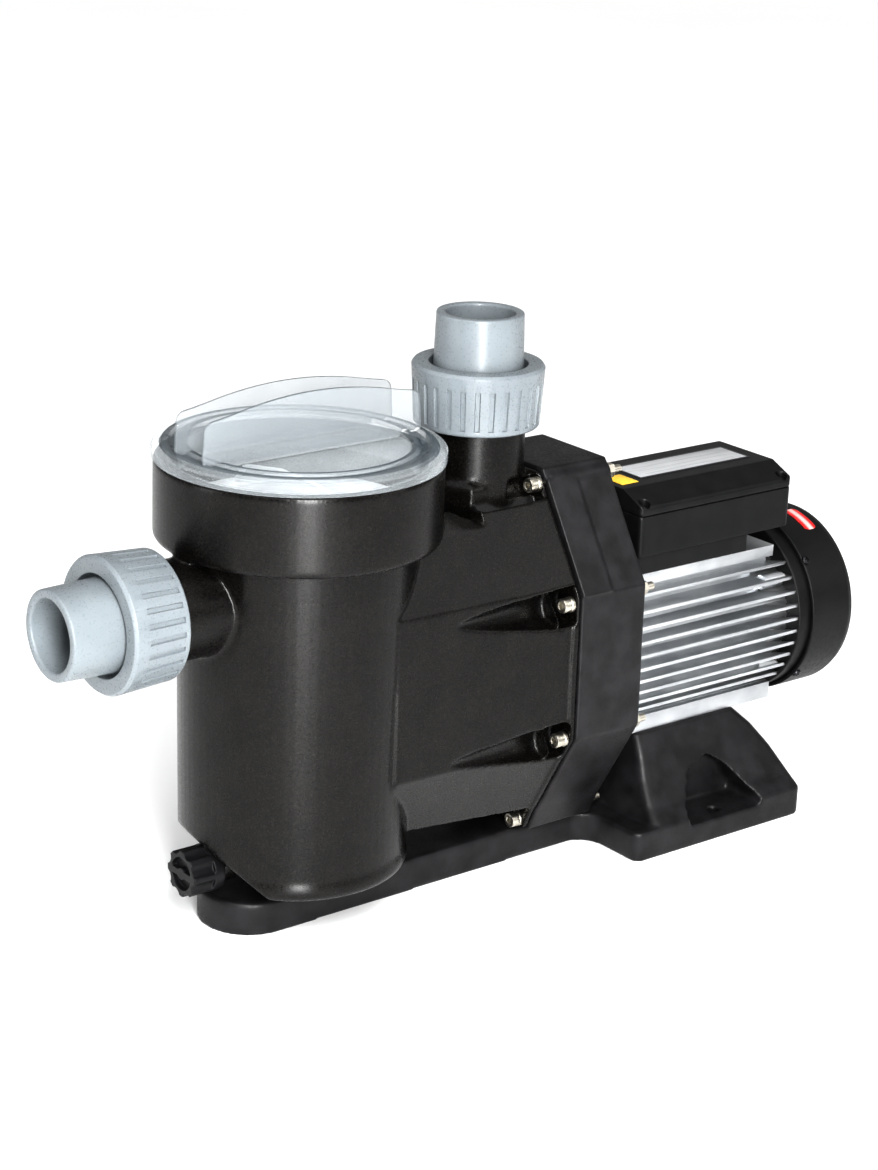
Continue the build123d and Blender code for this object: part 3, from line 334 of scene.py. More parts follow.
def nameplate_metal():
    """Bare aluminium plate with a dark printed border and a few thin rules."""
    finish = Finish("plate", (0.72, 0.73, 0.74), 0.34, Metallic=0.45)
    low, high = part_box("nameplate")
    centre = (low + high) / 2
    across = finish.maths("ABSOLUTE", finish.maths("SUBTRACT", finish.axis("Y"), centre.y))
    along = finish.maths("ABSOLUTE", finish.maths("SUBTRACT", finish.axis("X"), centre.x))
    inset = 2.2 * MM
    edge_y = finish.maths("GREATER_THAN", across, (high.y - low.y) / 2 - inset)
    edge_x = finish.maths("GREATER_THAN", along, (high.x - low.x) / 2 - inset)
    border = finish.maths("MAXIMUM", edge_x, edge_y)
    pitch = 7.5 * MM
    offset = finish.maths("SUBTRACT", finish.axis("Y"), low.y)
    step = finish.maths("PINGPONG", offset, pitch / 2)
    rule = finish.maths("LESS_THAN", step, 0.22 * MM)
    inside = finish.maths("LESS_THAN", along, (high.x - low.x) / 2 - 12 * MM)
    rules = finish.maths("MULTIPLY", rule, inside)
    lines = finish.noise(0.5 * MM, detail=3, stretch=ALONG_X)
    metal = finish.mix(finish.range(lines, 0, 1), (0.54, 0.55, 0.56), (0.64, 0.65, 0.66))
    ruled = finish.mix(finish.maths("MULTIPLY", rules, 0.45), metal, (0.10, 0.10, 0.11))
    finish.colour(finish.mix(border, ruled, (0.05, 0.05, 0.055)))
    finish.roughness(finish.range(lines, 0.28, 0.42))
    finish.bump(lines, 0.08, 0.05 * MM)
    return finish.material


def yellow_label():
    """Plain yellow label with a slightly uneven print."""
    finish = Finish("yellow_label", (0.75, 0.50, 0.05), 0.42)
    print_noise = finish.noise(1.2 * MM, detail=3)
    finish.colour(finish.mix(finish.range(print_noise, 0, 1), (0.68, 0.44, 0.05), (0.80, 0.56, 0.09)))
    finish.roughness(finish.range(print_noise, 0.36, 0.5))
    finish.bump(print_noise, 0.06, 0.04 * MM)
    return finish.material


def red_label():
    """Glossy red label with a paler band along its middle."""
    finish = Finish("red_label", (0.60, 0.02, 0.02), 0.25, Coat_Weight=0.6, Coat_Roughness=0.08)
    low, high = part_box("cover_sticker")
    from_band = finish.maths("ABSOLUTE", finish.maths("SUBTRACT", finish.axis("X"), (low.x + high.x) / 2))
    band = finish.range(from_band, 0.75, 0, 1.2 * MM, 3.6 * MM)
    cloud = finish.noise(3 * MM, detail=3)
    red = finish.mix(finish.range(cloud, 0, 1), (0.50, 0.012, 0.014), (0.62, 0.025, 0.025))
    finish.colour(finish.mix(band, red, (0.86, 0.62, 0.60)))
    finish.roughness(finish.range(cloud, 0.2, 0.32))
    return finish.material


FINISHES = {
    "pot_plastic": pot_plastic(), "bracket_plastic": bracket_plastic(), "box_plastic": box_plastic(),
    "pvc": pvc(), "clear_plastic": clear_plastic(), "basket_plastic": basket_plastic(),
    "impeller_plastic": impeller_plastic(), "terminal_plastic": terminal_plastic(),
    "rubber": rubber(), "ceramic": ceramic(), "aluminium": aluminium(), "stainless": stainless(),
    "bearing_steel": bearing_steel(), "lamination": lamination(), "copper": copper(),
    "black_paint": black_paint(), "plate": nameplate_metal(), "yellow_label": yellow_label(),
    "red_label": red_label(),
}
KNOB = knob_plastic()
ZINC = zinc_plated()
BLACKED = blacked_steel()


# ---- mesh tools ----
def piece_of(name, mesh):
    piece = bpy.data.objects.new(name, mesh)
    bpy.context.scene.collection.objects.link(piece)
    return piece


def settled(piece):
    """Makes the piece's modifiers part of its mesh."""
    bpy.context.view_layer.update()
    before = piece.data
    mesh = bpy.data.meshes.new_from_object(piece.evaluated_get(bpy.context.evaluated_depsgraph_get()))
    piece.modifiers.clear()
    piece.data = mesh
    bpy.data.meshes.remove(before)
    return piece


def finished(piece, slot, *nodes, material=None, body=None, crease=35):
    """Gives a piece its finish, its smooth shading and its body, and hides the CAD nodes it stands for."""
    piece.data.materials.clear()
    piece.data.materials.append(material or FINISHES[slot])
    piece.data.shade_smooth()
    piece.data.set_sharp_from_angle(angle=radians(crease))
    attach(piece, body or BODY_OF[nodes[0]])
    if nodes:
        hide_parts(*nodes)
    return piece


def moulded(nodes, slot, voxel, passes, material=None):
    """CAD parts as one moulding: remeshed evenly, and its edges relaxed into small fillets."""
    nodes = nodes.split()
    start = gathered([(frame["nodes"][node].data, Matrix()) for node in nodes])
    piece = piece_of(nodes[0] + "_moulding", start)
    remesh = piece.modifiers.new("even", "REMESH")
    remesh.mode = "VOXEL"
    remesh.voxel_size = voxel
    soft = piece.modifiers.new("soft", "SMOOTH")
    soft.factor = 0.5
    soft.iterations = passes
    settled(piece)
    return finished(piece, slot, *nodes, material=material, crease=180)


def crisp(node, slot, bevel, material=None):
    """The CAD part with its flat faces merged and its edges slightly broken."""
    piece = piece_of(node + "_skin", gathered([(frame["nodes"][node].data, Matrix())]))
    weld = piece.modifiers.new("weld", "WELD")
    weld.merge_threshold = 1e-6
    flat = piece.modifiers.new("flat", "DECIMATE")
    flat.decimate_type = "DISSOLVE"
    flat.angle_limit = radians(0.6)
    edge = piece.modifiers.new("edge", "BEVEL")
    edge.width = bevel
    edge.segments = 2
    edge.limit_method = "ANGLE"
    edge.angle_limit = radians(35)
    edge.use_clamp_overlap = True
    settled(piece)
    return finished(piece, slot, node, material=material, crease=30)


def islands(node):
    """The box of each separate solid in a CAD node, in order of place."""
    work = bmesh.new()
    work.from_mesh(frame["nodes"][node].data)
    bmesh.ops.remove_doubles(work, verts=work.verts, dist=1e-7)
    boxes, seen = [], set()
    for first in work.verts:
        if first in seen:
            continue
        seen.add(first)
        found = [first]
        for vert in found:
            for edge in vert.link_edges:
                other = edge.other_vert(vert)
                if other not in seen:
                    seen.add(other)
                    found.append(other)
        low = Vector([min(v.co[i] for v in found) for i in range(3)])
        high = Vector([max(v.co[i] for v in found) for i in range(3)])
        boxes.append((low, high))
    work.free()
    return sorted(boxes, key=lambda box: [round(value, 4) for value in box[0]])


NEARLY_STRAIGHT = radians(86)            # half the angle at a corner that needs no arc
SIDE_SHARE = 0.48                        # the most of each side that a corner's arc takes


def rounded(points, radius, steps=4):
    """A closed outline with its corners turned into arcs."""
    result = []
    for i, corner in enumerate(points):
        corner = Vector(corner)
        back = Vector(points[i - 1]) - corner
        on = Vector(points[(i + 1) % len(points)]) - corner
        half = back.angle(on) / 2
        if half > NEARLY_STRAIGHT:
            result.append(corner)
            continue
        reach = min(radius / tan(half), SIDE_SHARE * back.length, SIDE_SHARE * on.length)
        start, end = corner + back.normalized() * reach, corner + on.normalized() * reach
        for step in range(steps + 1):
            t = step / steps
            result.append(start * (1 - t) ** 2 + corner * 2 * t * (1 - t) + end * t ** 2)
    return result


def skinned(rows, close_rows, close_columns):
    """A mesh of quads over rows of points."""
    mesh = bpy.data.meshes.new("skin")
    width = len(rows[0])
    points = [tuple(p) for row in rows for p in row]
    faces = []
    for r in range(len(rows) if close_rows else len(rows) - 1):
        for c in range(width if close_columns else width - 1):
            low, high = r * width, (r + 1) % len(rows) * width
            faces.append((low + c, low + (c + 1) % width, high + (c + 1) % width, high + c))
    mesh.from_pydata(points, [], faces)
    work = bmesh.new()
    work.from_mesh(mesh)
    bmesh.ops.remove_doubles(work, verts=work.verts, dist=1e-7)
    bmesh.ops.recalc_face_normals(work, faces=work.faces)
    work.to_mesh(mesh)
    work.free()
    return mesh


def hexagon(angle):
    """How far a hexagon's edge is at an angle, with its flats one unit from the centre."""
    third = pi / 3
    return 1 / cos((angle + third / 2) % third - third / 2)


def turned(profile, steps=96, closed=True):
    """A mesh turned about Z. A profile point is (radius, Z), and a third value makes its ring a hexagon."""
    rows = []
    for point in profile:
        radius, z = point[0], point[1]
        row = []
        for n in range(steps):
            angle = 2 * pi * n / steps
            reach = radius * hexagon(angle) if len(point) > 2 and point[2] else radius
            row.append((reach * cos(angle), reach * sin(angle), z))
        rows.append(row)
    return skinned(rows, closed, True)


def slab(outline, thickness, bevel, segments=3):
    """A flat shape in X and Y with this thickness above Z 0 and rounded edges."""
    work = bmesh.new()
    face = work.faces.new([work.verts.new((x, y, 0)) for x, y in outline])
    grown = bmesh.ops.extrude_face_region(work, geom=[face])
    lifted = [e for e in grown["geom"] if isinstance(e, bmesh.types.BMVert)]
    bmesh.ops.translate(work, verts=lifted, vec=(0, 0, thickness))
    bmesh.ops.recalc_face_normals(work, faces=work.faces)
    if bevel:
        sharp = [e for e in work.edges if e.calc_face_angle(0) > radians(25)]
        bmesh.ops.bevel(work, geom=sharp, offset=bevel, segments=segments, profile=0.5,
                        affect="EDGES", clamp_overlap=True)
    mesh = bpy.data.meshes.new("slab")
    work.to_mesh(mesh)
    work.free()
    return mesh


def gathered(meshes):
    """One mesh out of several, each given with its matrix."""
    work = bmesh.new()
    for mesh, matrix in meshes:
        copy = mesh.copy()
        copy.transform(matrix)
        work.from_mesh(copy)
        bpy.data.meshes.remove(copy)
    mesh = bpy.data.meshes.new("gathered")
    work.to_mesh(mesh)
    work.free()
    return mesh


def combined(first, second, operation):
    """Two closed meshes as one solid: a union, or the first less the second."""
    base, tool = piece_of("base_solid", first), piece_of("tool_solid", second)
    cut = base.modifiers.new("cut", "BOOLEAN")
    cut.operation = operation
    cut.solver = "EXACT"
    cut.object = tool
    settled(base)
    mesh = base.data
    bpy.data.objects.remove(base)
    bpy.data.objects.remove(tool)
    return mesh


def facing(direction, place, spin=0.0):
    """A matrix that turns Z to a direction and moves the origin to a place."""
    turn = Vector((0, 0, 1)).rotation_difference(Vector(direction))
    return Matrix.Translation(place) @ turn.to_matrix().to_4x4() @ Matrix.Rotation(spin, 4, "Z")


def scaled(points):
    """Points in mm as points in metres."""
    return [(p[0] * MM, p[1] * MM) for p in points]


def size_of(box):
    return box[1] - box[0]


def centre_of(box):
    return (box[0] + box[1]) / 2


X, Y, Z = Vector((1, 0, 0)), Vector((0, 1, 0)), Vector((0, 0, 1))


# ---- the big mouldings ----
moulded("strainer_pot pump_housing", "pot_plastic", voxel=1.4 * MM, passes=6)
moulded("motor_bracket", "bracket_plastic", voxel=1.2 * MM, passes=6)
moulded("base", "bracket_plastic", voxel=1.5 * MM, passes=8)
moulded("fan_cover", "black_paint", voxel=0.95 * MM, passes=3)
moulded("rear_end_shield", "black_paint", voxel=1.0 * MM, passes=4)
moulded("terminal_box_base", "box_plastic", voxel=0.8 * MM, passes=3)
moulded("terminal_box_lid", "box_plastic", voxel=0.62 * MM, passes=3)
moulded("terminal_riser", "box_plastic", voxel=0.9 * MM, passes=3)
moulded("drain_plug", "bracket_plastic", voxel=0.5 * MM, passes=3, material=KNOB)
moulded("suction_tail", "pvc", voxel=0.9 * MM, passes=3)
moulded("discharge_tail", "pvc", voxel=0.9 * MM, passes=3)
crisp("motor_housing", "aluminium", bevel=0.5 * MM)


# ---- union nuts ----
# Sizes of the nut are in mm.
GRIP_COUNT = 28
GRIP_LOW, GRIP_HIGH = 4.2, 33.2          # ends of the grip grooves from the nut's inner end
GRIP_DEPTH = 1.7
GRIP_HALF_WIDTH = 1.8
GRIP_RADIUS = 47.0                       # middle radius of the slightly conical grooved face
GROOVED_BEYOND = 44.5                    # only points further out than this are grooved
GRIP_END_STEP = 0.15                     # spacing of the rings at a groove's end
GRIP_MIDDLE = 20.0                       # one ring between the grooves' ends
LONG_FACE = 20.0                         # only the grooved face is longer than this
SLOPE_START, SLOPE_WIDTH = -0.2, 0.5     # where a groove's side starts from its edge, and its width
NUT_OUTSIDE = [(40.5, 0.0), (44.9, 0.0), (45.8, 1.2), (48.3, 42.6), (46.6, 45.0), (35.8, 45.0)]
NUT_INSIDE = [(35.8, 37.0), (40.5, 37.0)]


def groove_depth(inside):
    """Share of the groove's full depth, this many mm inside its edge."""
    t = min(max((inside - SLOPE_START) / SLOPE_WIDTH, 0.0), 1.0)
    return t * t * (3 - 2 * t)


def grip_angles():
    """Angles round the nut, close together at the sides of each groove, with their depth share."""
    pitch = 2 * pi / GRIP_COUNT
    across = [0.0, 1.0, 1.45, 1.6, 1.75, 1.9, 2.05, 3.2]
    places = [-u for u in reversed(across[1:])] + across
    for n in range(GRIP_COUNT):
        for u in places:
            yield pitch * n + u / GRIP_RADIUS, groove_depth(GRIP_HALF_WIDTH - abs(u))


def union_nut_mesh():
    """A nut along Z with its inner end at zero, with shallow square-ended grooves for grip."""
    profile = [(p.x, p.y) for p in rounded(NUT_OUTSIDE + NUT_INSIDE, 1.1)]
    points = []
    for n, (r, z) in enumerate(profile):
        points.append((r, z))
        on_r, on_z = profile[(n + 1) % len(profile)]
        if on_z - z > LONG_FACE:
            ends = [GRIP_LOW + GRIP_END_STEP * step for step in range(-2, 5)]
            ends += [GRIP_MIDDLE] + [GRIP_HIGH + GRIP_END_STEP * step for step in range(-4, 3)]
            points += [(r + (on_r - r) * (h - z) / (on_z - z), h) for h in ends]
    rows = []
    for r, z in points:
        along = groove_depth(min(z - GRIP_LOW, GRIP_HIGH - z)) if r > GROOVED_BEYOND else 0.0
        row = []
        for angle, share in grip_angles():
            reach = (r - GRIP_DEPTH * share * along) * MM
            row.append((reach * cos(angle), reach * sin(angle), z * MM))
        rows.append(row)
    return skinned(rows, True, True)


def union_nut(name, node, outward):
    """The nut in place of its CAD node, with its inner end at the node's end towards the pump."""
    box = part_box(node)
    inner_end = centre_of(box) - outward * abs(size_of(box).dot(outward)) / 2
    piece = piece_of(name, gathered([(NUT_MESH, facing(outward, inner_end))]))
    finished(piece, "pvc", node, crease=40)


NUT_MESH = union_nut_mesh()
union_nut("suction_union_nut", "suction_nut", -X)
union_nut("discharge_union_nut", "discharge_nut", Z)


# ---- lid and its seal ----
low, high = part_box("strainer_lid")
LID_AXIS = Vector(((low.x + high.x) / 2, (low.y + high.y) / 2, 0))
LID_TOP = LID_TOP_Z / MM                 # top of the handles, in mm like the sizes below
LID_R = (high.x - low.x) / 2 / MM
LID_SEAT = LID_TOP - 49.8                # underside of the rim
LID_FACE = LID_TOP - 42.0                # top of the rim
HANDLE_THICKNESS = 3.2
HANDLE_Y = 16.8                          # each handle stands this far from the lid's centre


def lid_disc():
    """The lid without its handles: a skirt, a flat rim, two raised rings and a sunken window."""
    seat, face = LID_SEAT, LID_FACE
    under = [(0.0, seat + 1.8), (84.5, seat + 1.8), (84.5, seat - 18.2), (88.6, seat - 18.2)]
    under += [(89.2, seat - 14.0), (89.2, seat), (LID_R, seat), (LID_R, face), (97.0, face)]
    crown = [(95.4, face + 2.6), (91.0, face + 3.0), (88.5, face + 1.4), (84.0, face + 1.4)]
    crown += [(82.0, face + 3.2), (78.5, face + 3.2), (76.5, face - 1.0), (74.0, face - 1.6)]
    profile = rounded(under[1:] + crown, 0.9, 3)
    return turned([(0.0, under[0][1] * MM)] + scaled(profile) + [(0.0, (face - 1.6) * MM)], 128)


def lid_handle():
    """One handle's outline, standing on the lid's face, as (along, up)."""
    foot, shoulder, top = LID_TOP - 45.0, LID_TOP - 12.0, LID_TOP
    right = [(92.0, foot), (89.6, shoulder + 0.5), (76.0, shoulder + 2.6)]
    crown = [(x, top - 10.0 * (x / 76.0) ** 2) for x in range(64, -65, -8)]
    left = [(-x, z) for x, z in reversed(right)]
    outline = rounded(right + crown + left, 9.0, 5)
    return slab(scaled(outline), HANDLE_THICKNESS * MM, 0.7 * MM)


lid = lid_disc()
upright = Matrix.Rotation(radians(90), 4, "X")
handle = lid_handle()
handle_places = [(side * HANDLE_Y + HANDLE_THICKNESS / 2) * MM for side in (1, -1)]
handles = gathered([(handle, Matrix.Translation((0, y, 0)) @ upright) for y in handle_places])
lid = combined(lid, handles, "UNION")
lid.transform(Matrix.Translation(LID_AXIS))
finished(piece_of("clear_lid", lid), "clear_plastic", "strainer_lid", crease=32)

low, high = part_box("lid_oring")
cord_r = (high.z - low.z) / 2
ring_r = (high.x - low.x) / 2 - 2.0 * MM # radius of the cord's middle
ring_z = (low.z + high.z) / 2
cord_angles = [pi * n / 8 for n in range(16)]
circle = [(ring_r + cord_r * cos(angle), ring_z + cord_r * sin(angle)) for angle in cord_angles]
seal = turned(circle, 128)
seal.transform(Matrix.Translation(LID_AXIS))
finished(piece_of("lid_seal_ring", seal), "rubber", "lid_oring", crease=180)


# ---- basket ----
COLUMNS, ROWS = 56, 15
BAND = 0.035                             # share of the wall's height that is plain at each end
HOLE_HEIGHT, HOLE_WIDTH = 0.76, 0.7      # shares of a row's height and of a column's width


def net_wall(low_z, high_z, low_r, high_r):
    """A conical wall of square mesh, with a bar beside each hole and a plain band at each end."""
    work = bmesh.new()
    levels = [(0.0, True)]
    for row in range(ROWS):
        levels += [(BAND + (1 - 2 * BAND) * row / ROWS, False)]
        levels += [(BAND + (1 - 2 * BAND) * (row + HOLE_HEIGHT) / ROWS, True)]
    levels += [(1.0, True)]
    grid = []
    for t, bar in levels:
        ring = []
        for n in range(COLUMNS * 2):
            angle = 2 * pi * (n // 2 + (HOLE_WIDTH if n % 2 else 0.0)) / COLUMNS
            r = low_r + (high_r - low_r) * t
            ring.append(work.verts.new((r * cos(angle), r * sin(angle), low_z + (high_z - low_z) * t)))
        grid.append(ring)
    for k in range(len(levels) - 1):
        for n in range(COLUMNS * 2):
            if levels[k][1] or n % 2:
                on = (n + 1) % (COLUMNS * 2)
                work.faces.new((grid[k][n], grid[k][on], grid[k + 1][on], grid[k + 1][n]))
    mesh = bpy.data.meshes.new("net")
    work.to_mesh(mesh)
    work.free()
    return mesh


def thickened(mesh, thickness):
    """The sheet as a wall of this thickness."""
    piece = piece_of("thickened", mesh)
    wall = piece.modifiers.new("wall", "SOLIDIFY")
    wall.thickness = thickness
    wall.offset = -1
    settled(piece)
    mesh = piece.data
    bpy.data.objects.remove(piece)
    return mesh


low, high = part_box("strainer_basket")
rim_r = (high.x - low.x) / 2
rim = rounded([(71.8, -3.0), (rim_r / MM, -3.0), (rim_r / MM, 0.0), (71.8, 0.0)], 0.8, 3)
rim = [(p.x * MM, p.y * MM + high.z) for p in rim]
net = thickened(net_wall(low.z + 1 * MM, high.z - 2 * MM, 62 * MM, 73.8 * MM), 1.9 * MM)
parts = [(net, Matrix()), (turned(rim, 128), Matrix())]
BAR = 2.6 * MM                           # width and height of the rings in the basket's floor
for radius in (0.4, 10.0, 20.0, 30.0, 40.0, 50.0, 59.3):
    inner, outer = radius * MM, radius * MM + BAR
    section = [(inner, low.z), (outer, low.z), (outer, low.z + BAR), (inner, low.z + BAR)]
    parts.append((turned(section, 64), Matrix()))
SPOKES = 12
spoke = slab(scaled([(0, -1.2), (61, -1.2), (61, 1.2), (0, 1.2)]), 2.4 * MM, 0.4 * MM)
for n in range(SPOKES):
    parts.append((spoke, Matrix.Translation((0, 0, low.z)) @ Matrix.Rotation(2 * pi / SPOKES * n, 4, "Z")))
ARCH_THICKNESS = 4 * MM
arch_outer = [(80.0, 0.0), (66.0, 16.0), (24.0, 23.4), (-24.0, 23.4), (-66.0, 16.0), (-80.0, 0.0)]
arch_inner = [(-77.0, 0.0), (-64.8, 14.0), (-23.7, 21.4), (23.7, 21.4), (64.8, 14.0), (77.0, 0.0)]
arch = slab(scaled(rounded(arch_outer + arch_inner, 4.0, 3)), ARCH_THICKNESS, 0.8 * MM)
stand = Matrix(((0, 0, 1, -ARCH_THICKNESS / 2), (1, 0, 0, 0), (0, 1, 0, high.z), (0, 0, 0, 1)))
parts.append((arch, stand))
basket = gathered(parts)
basket.transform(Matrix.Translation(LID_AXIS))
finished(piece_of("basket_net", basket), "basket_plastic", "strainer_basket", "basket_handle", crease=35)


# ---- fasteners ----
def cap_head(radius, length):
    """A socket head along Z, its seat at zero."""
    key, floor_z, edge = radius * 0.43, length * 0.42, 0.09 * radius
    profile = [(0.0, floor_z), (key, floor_z, True), (key, length - edge, True)]
    profile += [(key + 1.2 * edge, length, True), (radius - 1.4 * edge, length)]
    profile += [(radius - 0.4 * edge, length - 0.5 * edge), (radius, length - 1.4 * edge)]
    return turned(profile + [(radius, 0.4 * edge), (radius - 0.4 * edge, 0.0), (0.0, 0.0)], 48)


def plain_rod(radius, start, end):
    return turned([(0.0, start), (radius, start), (radius, end), (0.0, end)], 24)


def washer(hole, radius, thickness):
    edge = 0.22 * thickness
    return turned([(hole, 0.0), (radius - edge, 0.0), (radius, edge), (radius, thickness - edge),
                   (radius - edge, thickness), (hole, thickness)], 40)


def hex_body(flat, thickness, hole):
    """A nut or hexagon along Z from zero, with its corners broken."""
    edge = 0.1 * flat
    profile = [(hole, 0.0), (flat - edge, 0.0, True), (flat, 0.8 * edge, True)]
    profile += [(flat, thickness - 0.8 * edge, True), (flat - edge, thickness, True)]
    return turned(profile + [(hole + 0.5 * edge, thickness), (hole, thickness - 0.5 * edge)], 48)


def cross_head(radius, length):
    """A pan head with a cross recess along Z, its seat at zero."""
    dome = [(0.0, 0.0), (radius, 0.0), (radius, 0.35 * length), (0.92 * radius, 0.68 * length)]
    dome += [(0.7 * radius, 0.9 * length), (0.4 * radius, length), (0.0, length)]
    head = turned(dome, 40)
    for turn in (0, 90):
        half, wide = 0.56 * radius, 0.15 * radius
        bar = slab([(-half, -wide), (half, -wide), (half, wide), (-half, wide)], length, 0)
        bar.transform(Matrix.Rotation(radians(turn), 4, "Z") @ Matrix.Translation((0, 0, 0.45 * length)))
        head = combined(head, bar, "DIFFERENCE")
    return head


BOLT_R, BOLT_HEAD_R, BOLT_HEAD_LENGTH = 3.0 * MM, 5.5 * MM, 6.8 * MM
BOLT_SHANK = 81.9 * MM
HOLE_R = 3.02 * MM                       # bore of the washers and nuts
HEX_HALF_FLAT = 4.93 * MM
WASHER_LIMIT = 3 * MM                    # a solid of the nut set that is thinner is a washer
COVER_HEAD_LENGTH, BOX_HEAD_LENGTH = 2.2 * MM, 2.4 * MM
COVER_R = size_of(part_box("fan_cover")).y / 2

bolt_head = cap_head(BOLT_HEAD_R, BOLT_HEAD_LENGTH)
BOLT = gathered([(bolt_head, Matrix()), (plain_rod(BOLT_R, -BOLT_SHANK, 0.1 * MM), Matrix())])
COVER_SCREW = cross_head(3.6 * MM, COVER_HEAD_LENGTH)
BOX_SCREW = cross_head(3.8 * MM, BOX_HEAD_LENGTH)


def flange_bolt(box, n):
    seat = centre_of(box)
    seat.x = box[0].x + BOLT_HEAD_LENGTH
    return BOLT, facing(-X, seat, radians(7) * n)


def flange_washer(box, n):
    seat = centre_of(box)
    seat.x = box[0].x
    return washer(HOLE_R, size_of(box).y / 2, size_of(box).x), facing(X, seat)


def flange_nut(box, n):
    if size_of(box).x <= WASHER_LIMIT:
        return flange_washer(box, n)
    seat = centre_of(box)
    seat.x = box[0].x
    return hex_body(HEX_HALF_FLAT, size_of(box).x, HOLE_R), facing(X, seat)


def cover_screw(box, n):
    """A screw that points at the shaft, its seat just inside the cover's outside."""
    centre = centre_of(box)
    on_shaft = Vector((centre.x, SHAFT.y, SHAFT.z))
    outward = (centre - on_shaft).normalized()
    return COVER_SCREW, facing(outward, on_shaft + outward * (COVER_R - 0.1 * MM))


def box_screw(box, n):
    seat = centre_of(box)
    seat.z = box[1].z - BOX_HEAD_LENGTH
    return BOX_SCREW, facing(Z, seat, radians(20) * n)


def fastener_set(name, node, fastener, material):
    """One piece with a fastener for each separate solid of the CAD node."""
    placed = [fastener(box, n) for n, box in enumerate(islands(node))]
    finished(piece_of(name, gathered(placed)), "stainless", node, material=material)


fastener_set("flange_bolt_set", "flange_bolts", flange_bolt, ZINC)
fastener_set("flange_washer_set", "flange_washers", flange_washer, ZINC)
fastener_set("flange_nut_set", "flange_nuts", flange_nut, ZINC)
fastener_set("cover_screw_set", "cover_screws", cover_screw, BLACKED)
fastener_set("box_screw_set", "box_screws", box_screw, BLACKED)


# ---- cable gland on the far side of the box ----
CORD_HOLE_R = 4.2 * MM
COLLAR_LENGTH, NECK_LENGTH = 6 * MM, 12 * MM
GLAND_HALF_FLAT = 9.5 * MM


def sleeve(radius, start, end):
    """A tube along Z with the cord's hole through it."""
    return turned([(CORD_HOLE_R, start), (radius, start), (radius, end), (CORD_HOLE_R, end)], 48)


low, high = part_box("cable_gland")
axis = Vector(((low.x + high.x) / 2, high.y - NECK_LENGTH, (low.z + high.z) / 2))
collar = hex_body(GLAND_HALF_FLAT, COLLAR_LENGTH, CORD_HOLE_R)
neck = sleeve(8.9 * MM, 0.0, NECK_LENGTH)
thread = sleeve(6.9 * MM, -6 * MM, 0.5 * MM)
gland = gathered([(mesh, facing(Y, axis)) for mesh in (collar, neck, thread)])
finished(piece_of("gland_body", gland), "box_plastic", "cable_gland")

low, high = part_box("gland_nut")
axis = Vector(((low.x + high.x) / 2, low.y, (low.z + high.z) / 2))
dome = [(9.3, 6.8), (8.6, 9.2), (7.2, 11.2), (6.2, 12.0), (4.4, 12.0), (4.2, 11.6), (4.2, 6.8)]
grip = hex_body(GLAND_HALF_FLAT, 7 * MM, CORD_HOLE_R)
cap = gathered([(mesh, facing(Y, axis)) for mesh in (grip, turned(scaled(dome), 48))])
finished(piece_of("gland_cap", cap), "box_plastic", "gland_nut")


# ---- plate and labels ----
def flat_label(name, node, slot, corner):
    """A thin sheet with rounded corners, where the CAD's flat label is."""
    low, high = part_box(node)
    plan = [(low.x, low.y), (high.x, low.y), (high.x, high.y), (low.x, high.y)]
    sheet = slab(rounded(plan, corner, 5), high.z - low.z, 0.1 * MM, 2)
    sheet.transform(Matrix.Translation((0, 0, low.z)))
    finished(piece_of(name, sheet), slot, node)


flat_label("rating_plate", "nameplate", "plate", 2.5 * MM)
flat_label("box_label", "warning_label", "yellow_label", 1.2 * MM)


def wrapped_label():
    """The red label as a sheet that follows the cover, with rounded ends."""
    low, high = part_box("cover_sticker")
    inner, outer = COVER_R + 0.05 * MM, COVER_R + 0.4 * MM
    middle_x, half = (low.x + high.x) / 2, (high.x - low.x) / 2
    start, end = asin(-high.y / outer), asin(min(-low.y / outer, 1))
    rows, steps, corner = [], 28, 3.5 * MM
    for n in range(steps + 1):
        angle = start + (end - start) * n / steps
        from_end = min(n, steps - n) / steps * (end - start) * outer
        short = corner - sqrt(max(corner ** 2 - (corner - from_end) ** 2, 0)) if from_end < corner else 0
        reach = half - short
        section = [(outer, x) for x in (-reach, -reach / 3, reach / 3, reach)]
        section += [(inner, reach), (inner, -reach)]
        row = []
        for r, x in section:
            row.append((middle_x + x, SHAFT.y - r * sin(angle), SHAFT.z + r * cos(angle)))
        rows.append(row)
    for place in (0, -1):
        centre = sum((Vector(point) for point in rows[place]), Vector()) / len(section)
        rows.insert(0 if place == 0 else len(rows), [tuple(centre)] * len(section))
    return skinned(rows, False, True)


finished(piece_of("cover_label", wrapped_label()), "red_label", "cover_sticker", crease=50)

# ---- carried-over CAD nodes ----
CARRIED = {
    "rubber": ["housing_oring", "suction_oring", "discharge_oring", "drain_washer", "shaft_slinger"],
    "impeller_plastic": ["diffuser", "impeller", "impeller_cap", "fan"],
    "stainless": ["seal_head", "motor_shaft", "motor_screws", "shield_screws", "saddle_screws",
                  "bracket_screws", "pot_screw"],
    "ceramic": ["seal_seat"],
    "lamination": ["stator_core", "rotor_core"],
    "copper": ["stator_windings"],
    "bearing_steel": ["front_bearing_outer", "front_bearing_inner", "rear_bearing_outer",
                      "rear_bearing_inner", "wave_washer"],
    "aluminium": ["front_end_shield", "capacitor"],
    "terminal_plastic": ["terminal_block"],
}
for slot, names in CARRIED.items():
    for name in names:
        node = frame["nodes"][name]
        node.data.materials.clear()
        node.data.materials.append(FINISHES[slot])

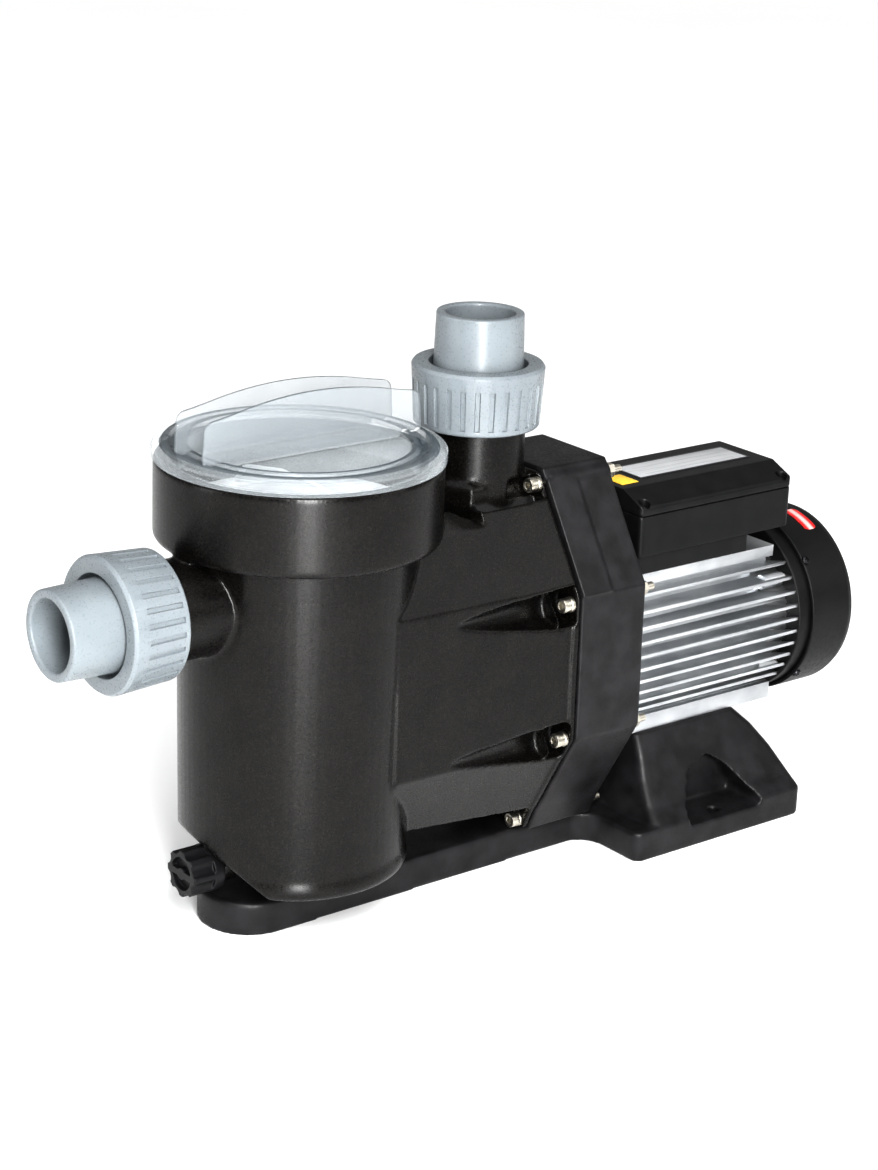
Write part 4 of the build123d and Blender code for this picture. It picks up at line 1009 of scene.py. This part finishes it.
# ---- camera, light and floor ----
camera = bpy.data.objects.new("camera", bpy.data.cameras.new("camera"))
bpy.context.scene.collection.objects.link(camera)
bpy.context.scene.camera = camera
CAMERA_PLACE = Vector((-1.2000, -1.4653, 0.8602))
CAMERA_BACK = Vector((-0.59334, -0.73769, 0.32210))
CAMERA_ROLL = radians(2.22)
camera.data.lens = 83.62
camera.data.sensor_width = 36.0
camera.data.clip_start = 0.05
camera.data.clip_end = 60.0
camera.location = CAMERA_PLACE
camera.rotation_mode = "QUATERNION"
camera.rotation_quaternion = (-CAMERA_BACK).to_track_quat("-Z", "Y") @ Quaternion(Z, CAMERA_ROLL)


def softbox(name, place, target, width, height, power):
    """A soft area light that faces a point. Its size is in metres and its power in watts."""
    lamp = bpy.data.lights.new(name, "AREA")
    lamp.shape = "RECTANGLE"
    lamp.size, lamp.size_y = width, height
    lamp.energy = power
    holder = bpy.data.objects.new(name, lamp)
    bpy.context.scene.collection.objects.link(holder)
    holder.location = place
    holder.rotation_mode = "QUATERNION"
    holder.rotation_quaternion = (Vector(target) - Vector(place)).to_track_quat("-Z", "Y")


softbox("strip_light", (-0.80, -1.25, 0.74), (-0.19, -0.07, 0.20), 0.38, 1.42, 62.0)
softbox("left_light", (-1.6, 0.5, 0.7), (-0.2, 0, 0.2), 0.5, 1.2, 7.0)
softbox("right_light", (1.0, -1.3, 1.1), (0.1, 0, 0.2), 0.9, 0.9, 6.0)

sky = bpy.data.lights.new("sky", "SUN")
sky.energy = 1.95
sky.angle = radians(60)
sky_holder = bpy.data.objects.new("sky", sky)
bpy.context.scene.collection.objects.link(sky_holder)
sky_holder.rotation_mode = "QUATERNION"
sky_holder.rotation_quaternion = Vector((0.25, 0.3, -1)).to_track_quat("-Z", "Y")

world = bpy.data.worlds.new("studio")
bpy.context.scene.world = world
world.use_nodes = True
world.node_tree.nodes["Background"].inputs["Color"].default_value = (1, 1, 1, 1)
world.node_tree.nodes["Background"].inputs["Strength"].default_value = 0.48

FLOOR_HALF, FLOOR_THICKNESS = 14.0, 0.02
FLOOR_GAP = 0.2 * MM                     # the floor lies this far under the base
floor_plan = [(-FLOOR_HALF, -FLOOR_HALF), (FLOOR_HALF, -FLOOR_HALF), (FLOOR_HALF, FLOOR_HALF),
              (-FLOOR_HALF, FLOOR_HALF)]
floor = piece_of("floor", slab(floor_plan, FLOOR_THICKNESS, 0))
floor.location.z = -(FLOOR_THICKNESS + FLOOR_GAP)
floor_finish = Finish("floor", (0.95, 0.95, 0.95), 0.8, Specular_IOR_Level=0.1)
floor_tone = floor_finish.range(floor_finish.noise(0.4, detail=2), 0, 1)
floor_finish.colour(floor_finish.mix(floor_tone, (0.945, 0.945, 0.945), (0.955, 0.955, 0.955)))
floor.data.materials.append(floor_finish.material)

bpy.context.scene.view_settings.view_transform = "Standard"
bpy.context.scene.view_settings.gamma = 0.73
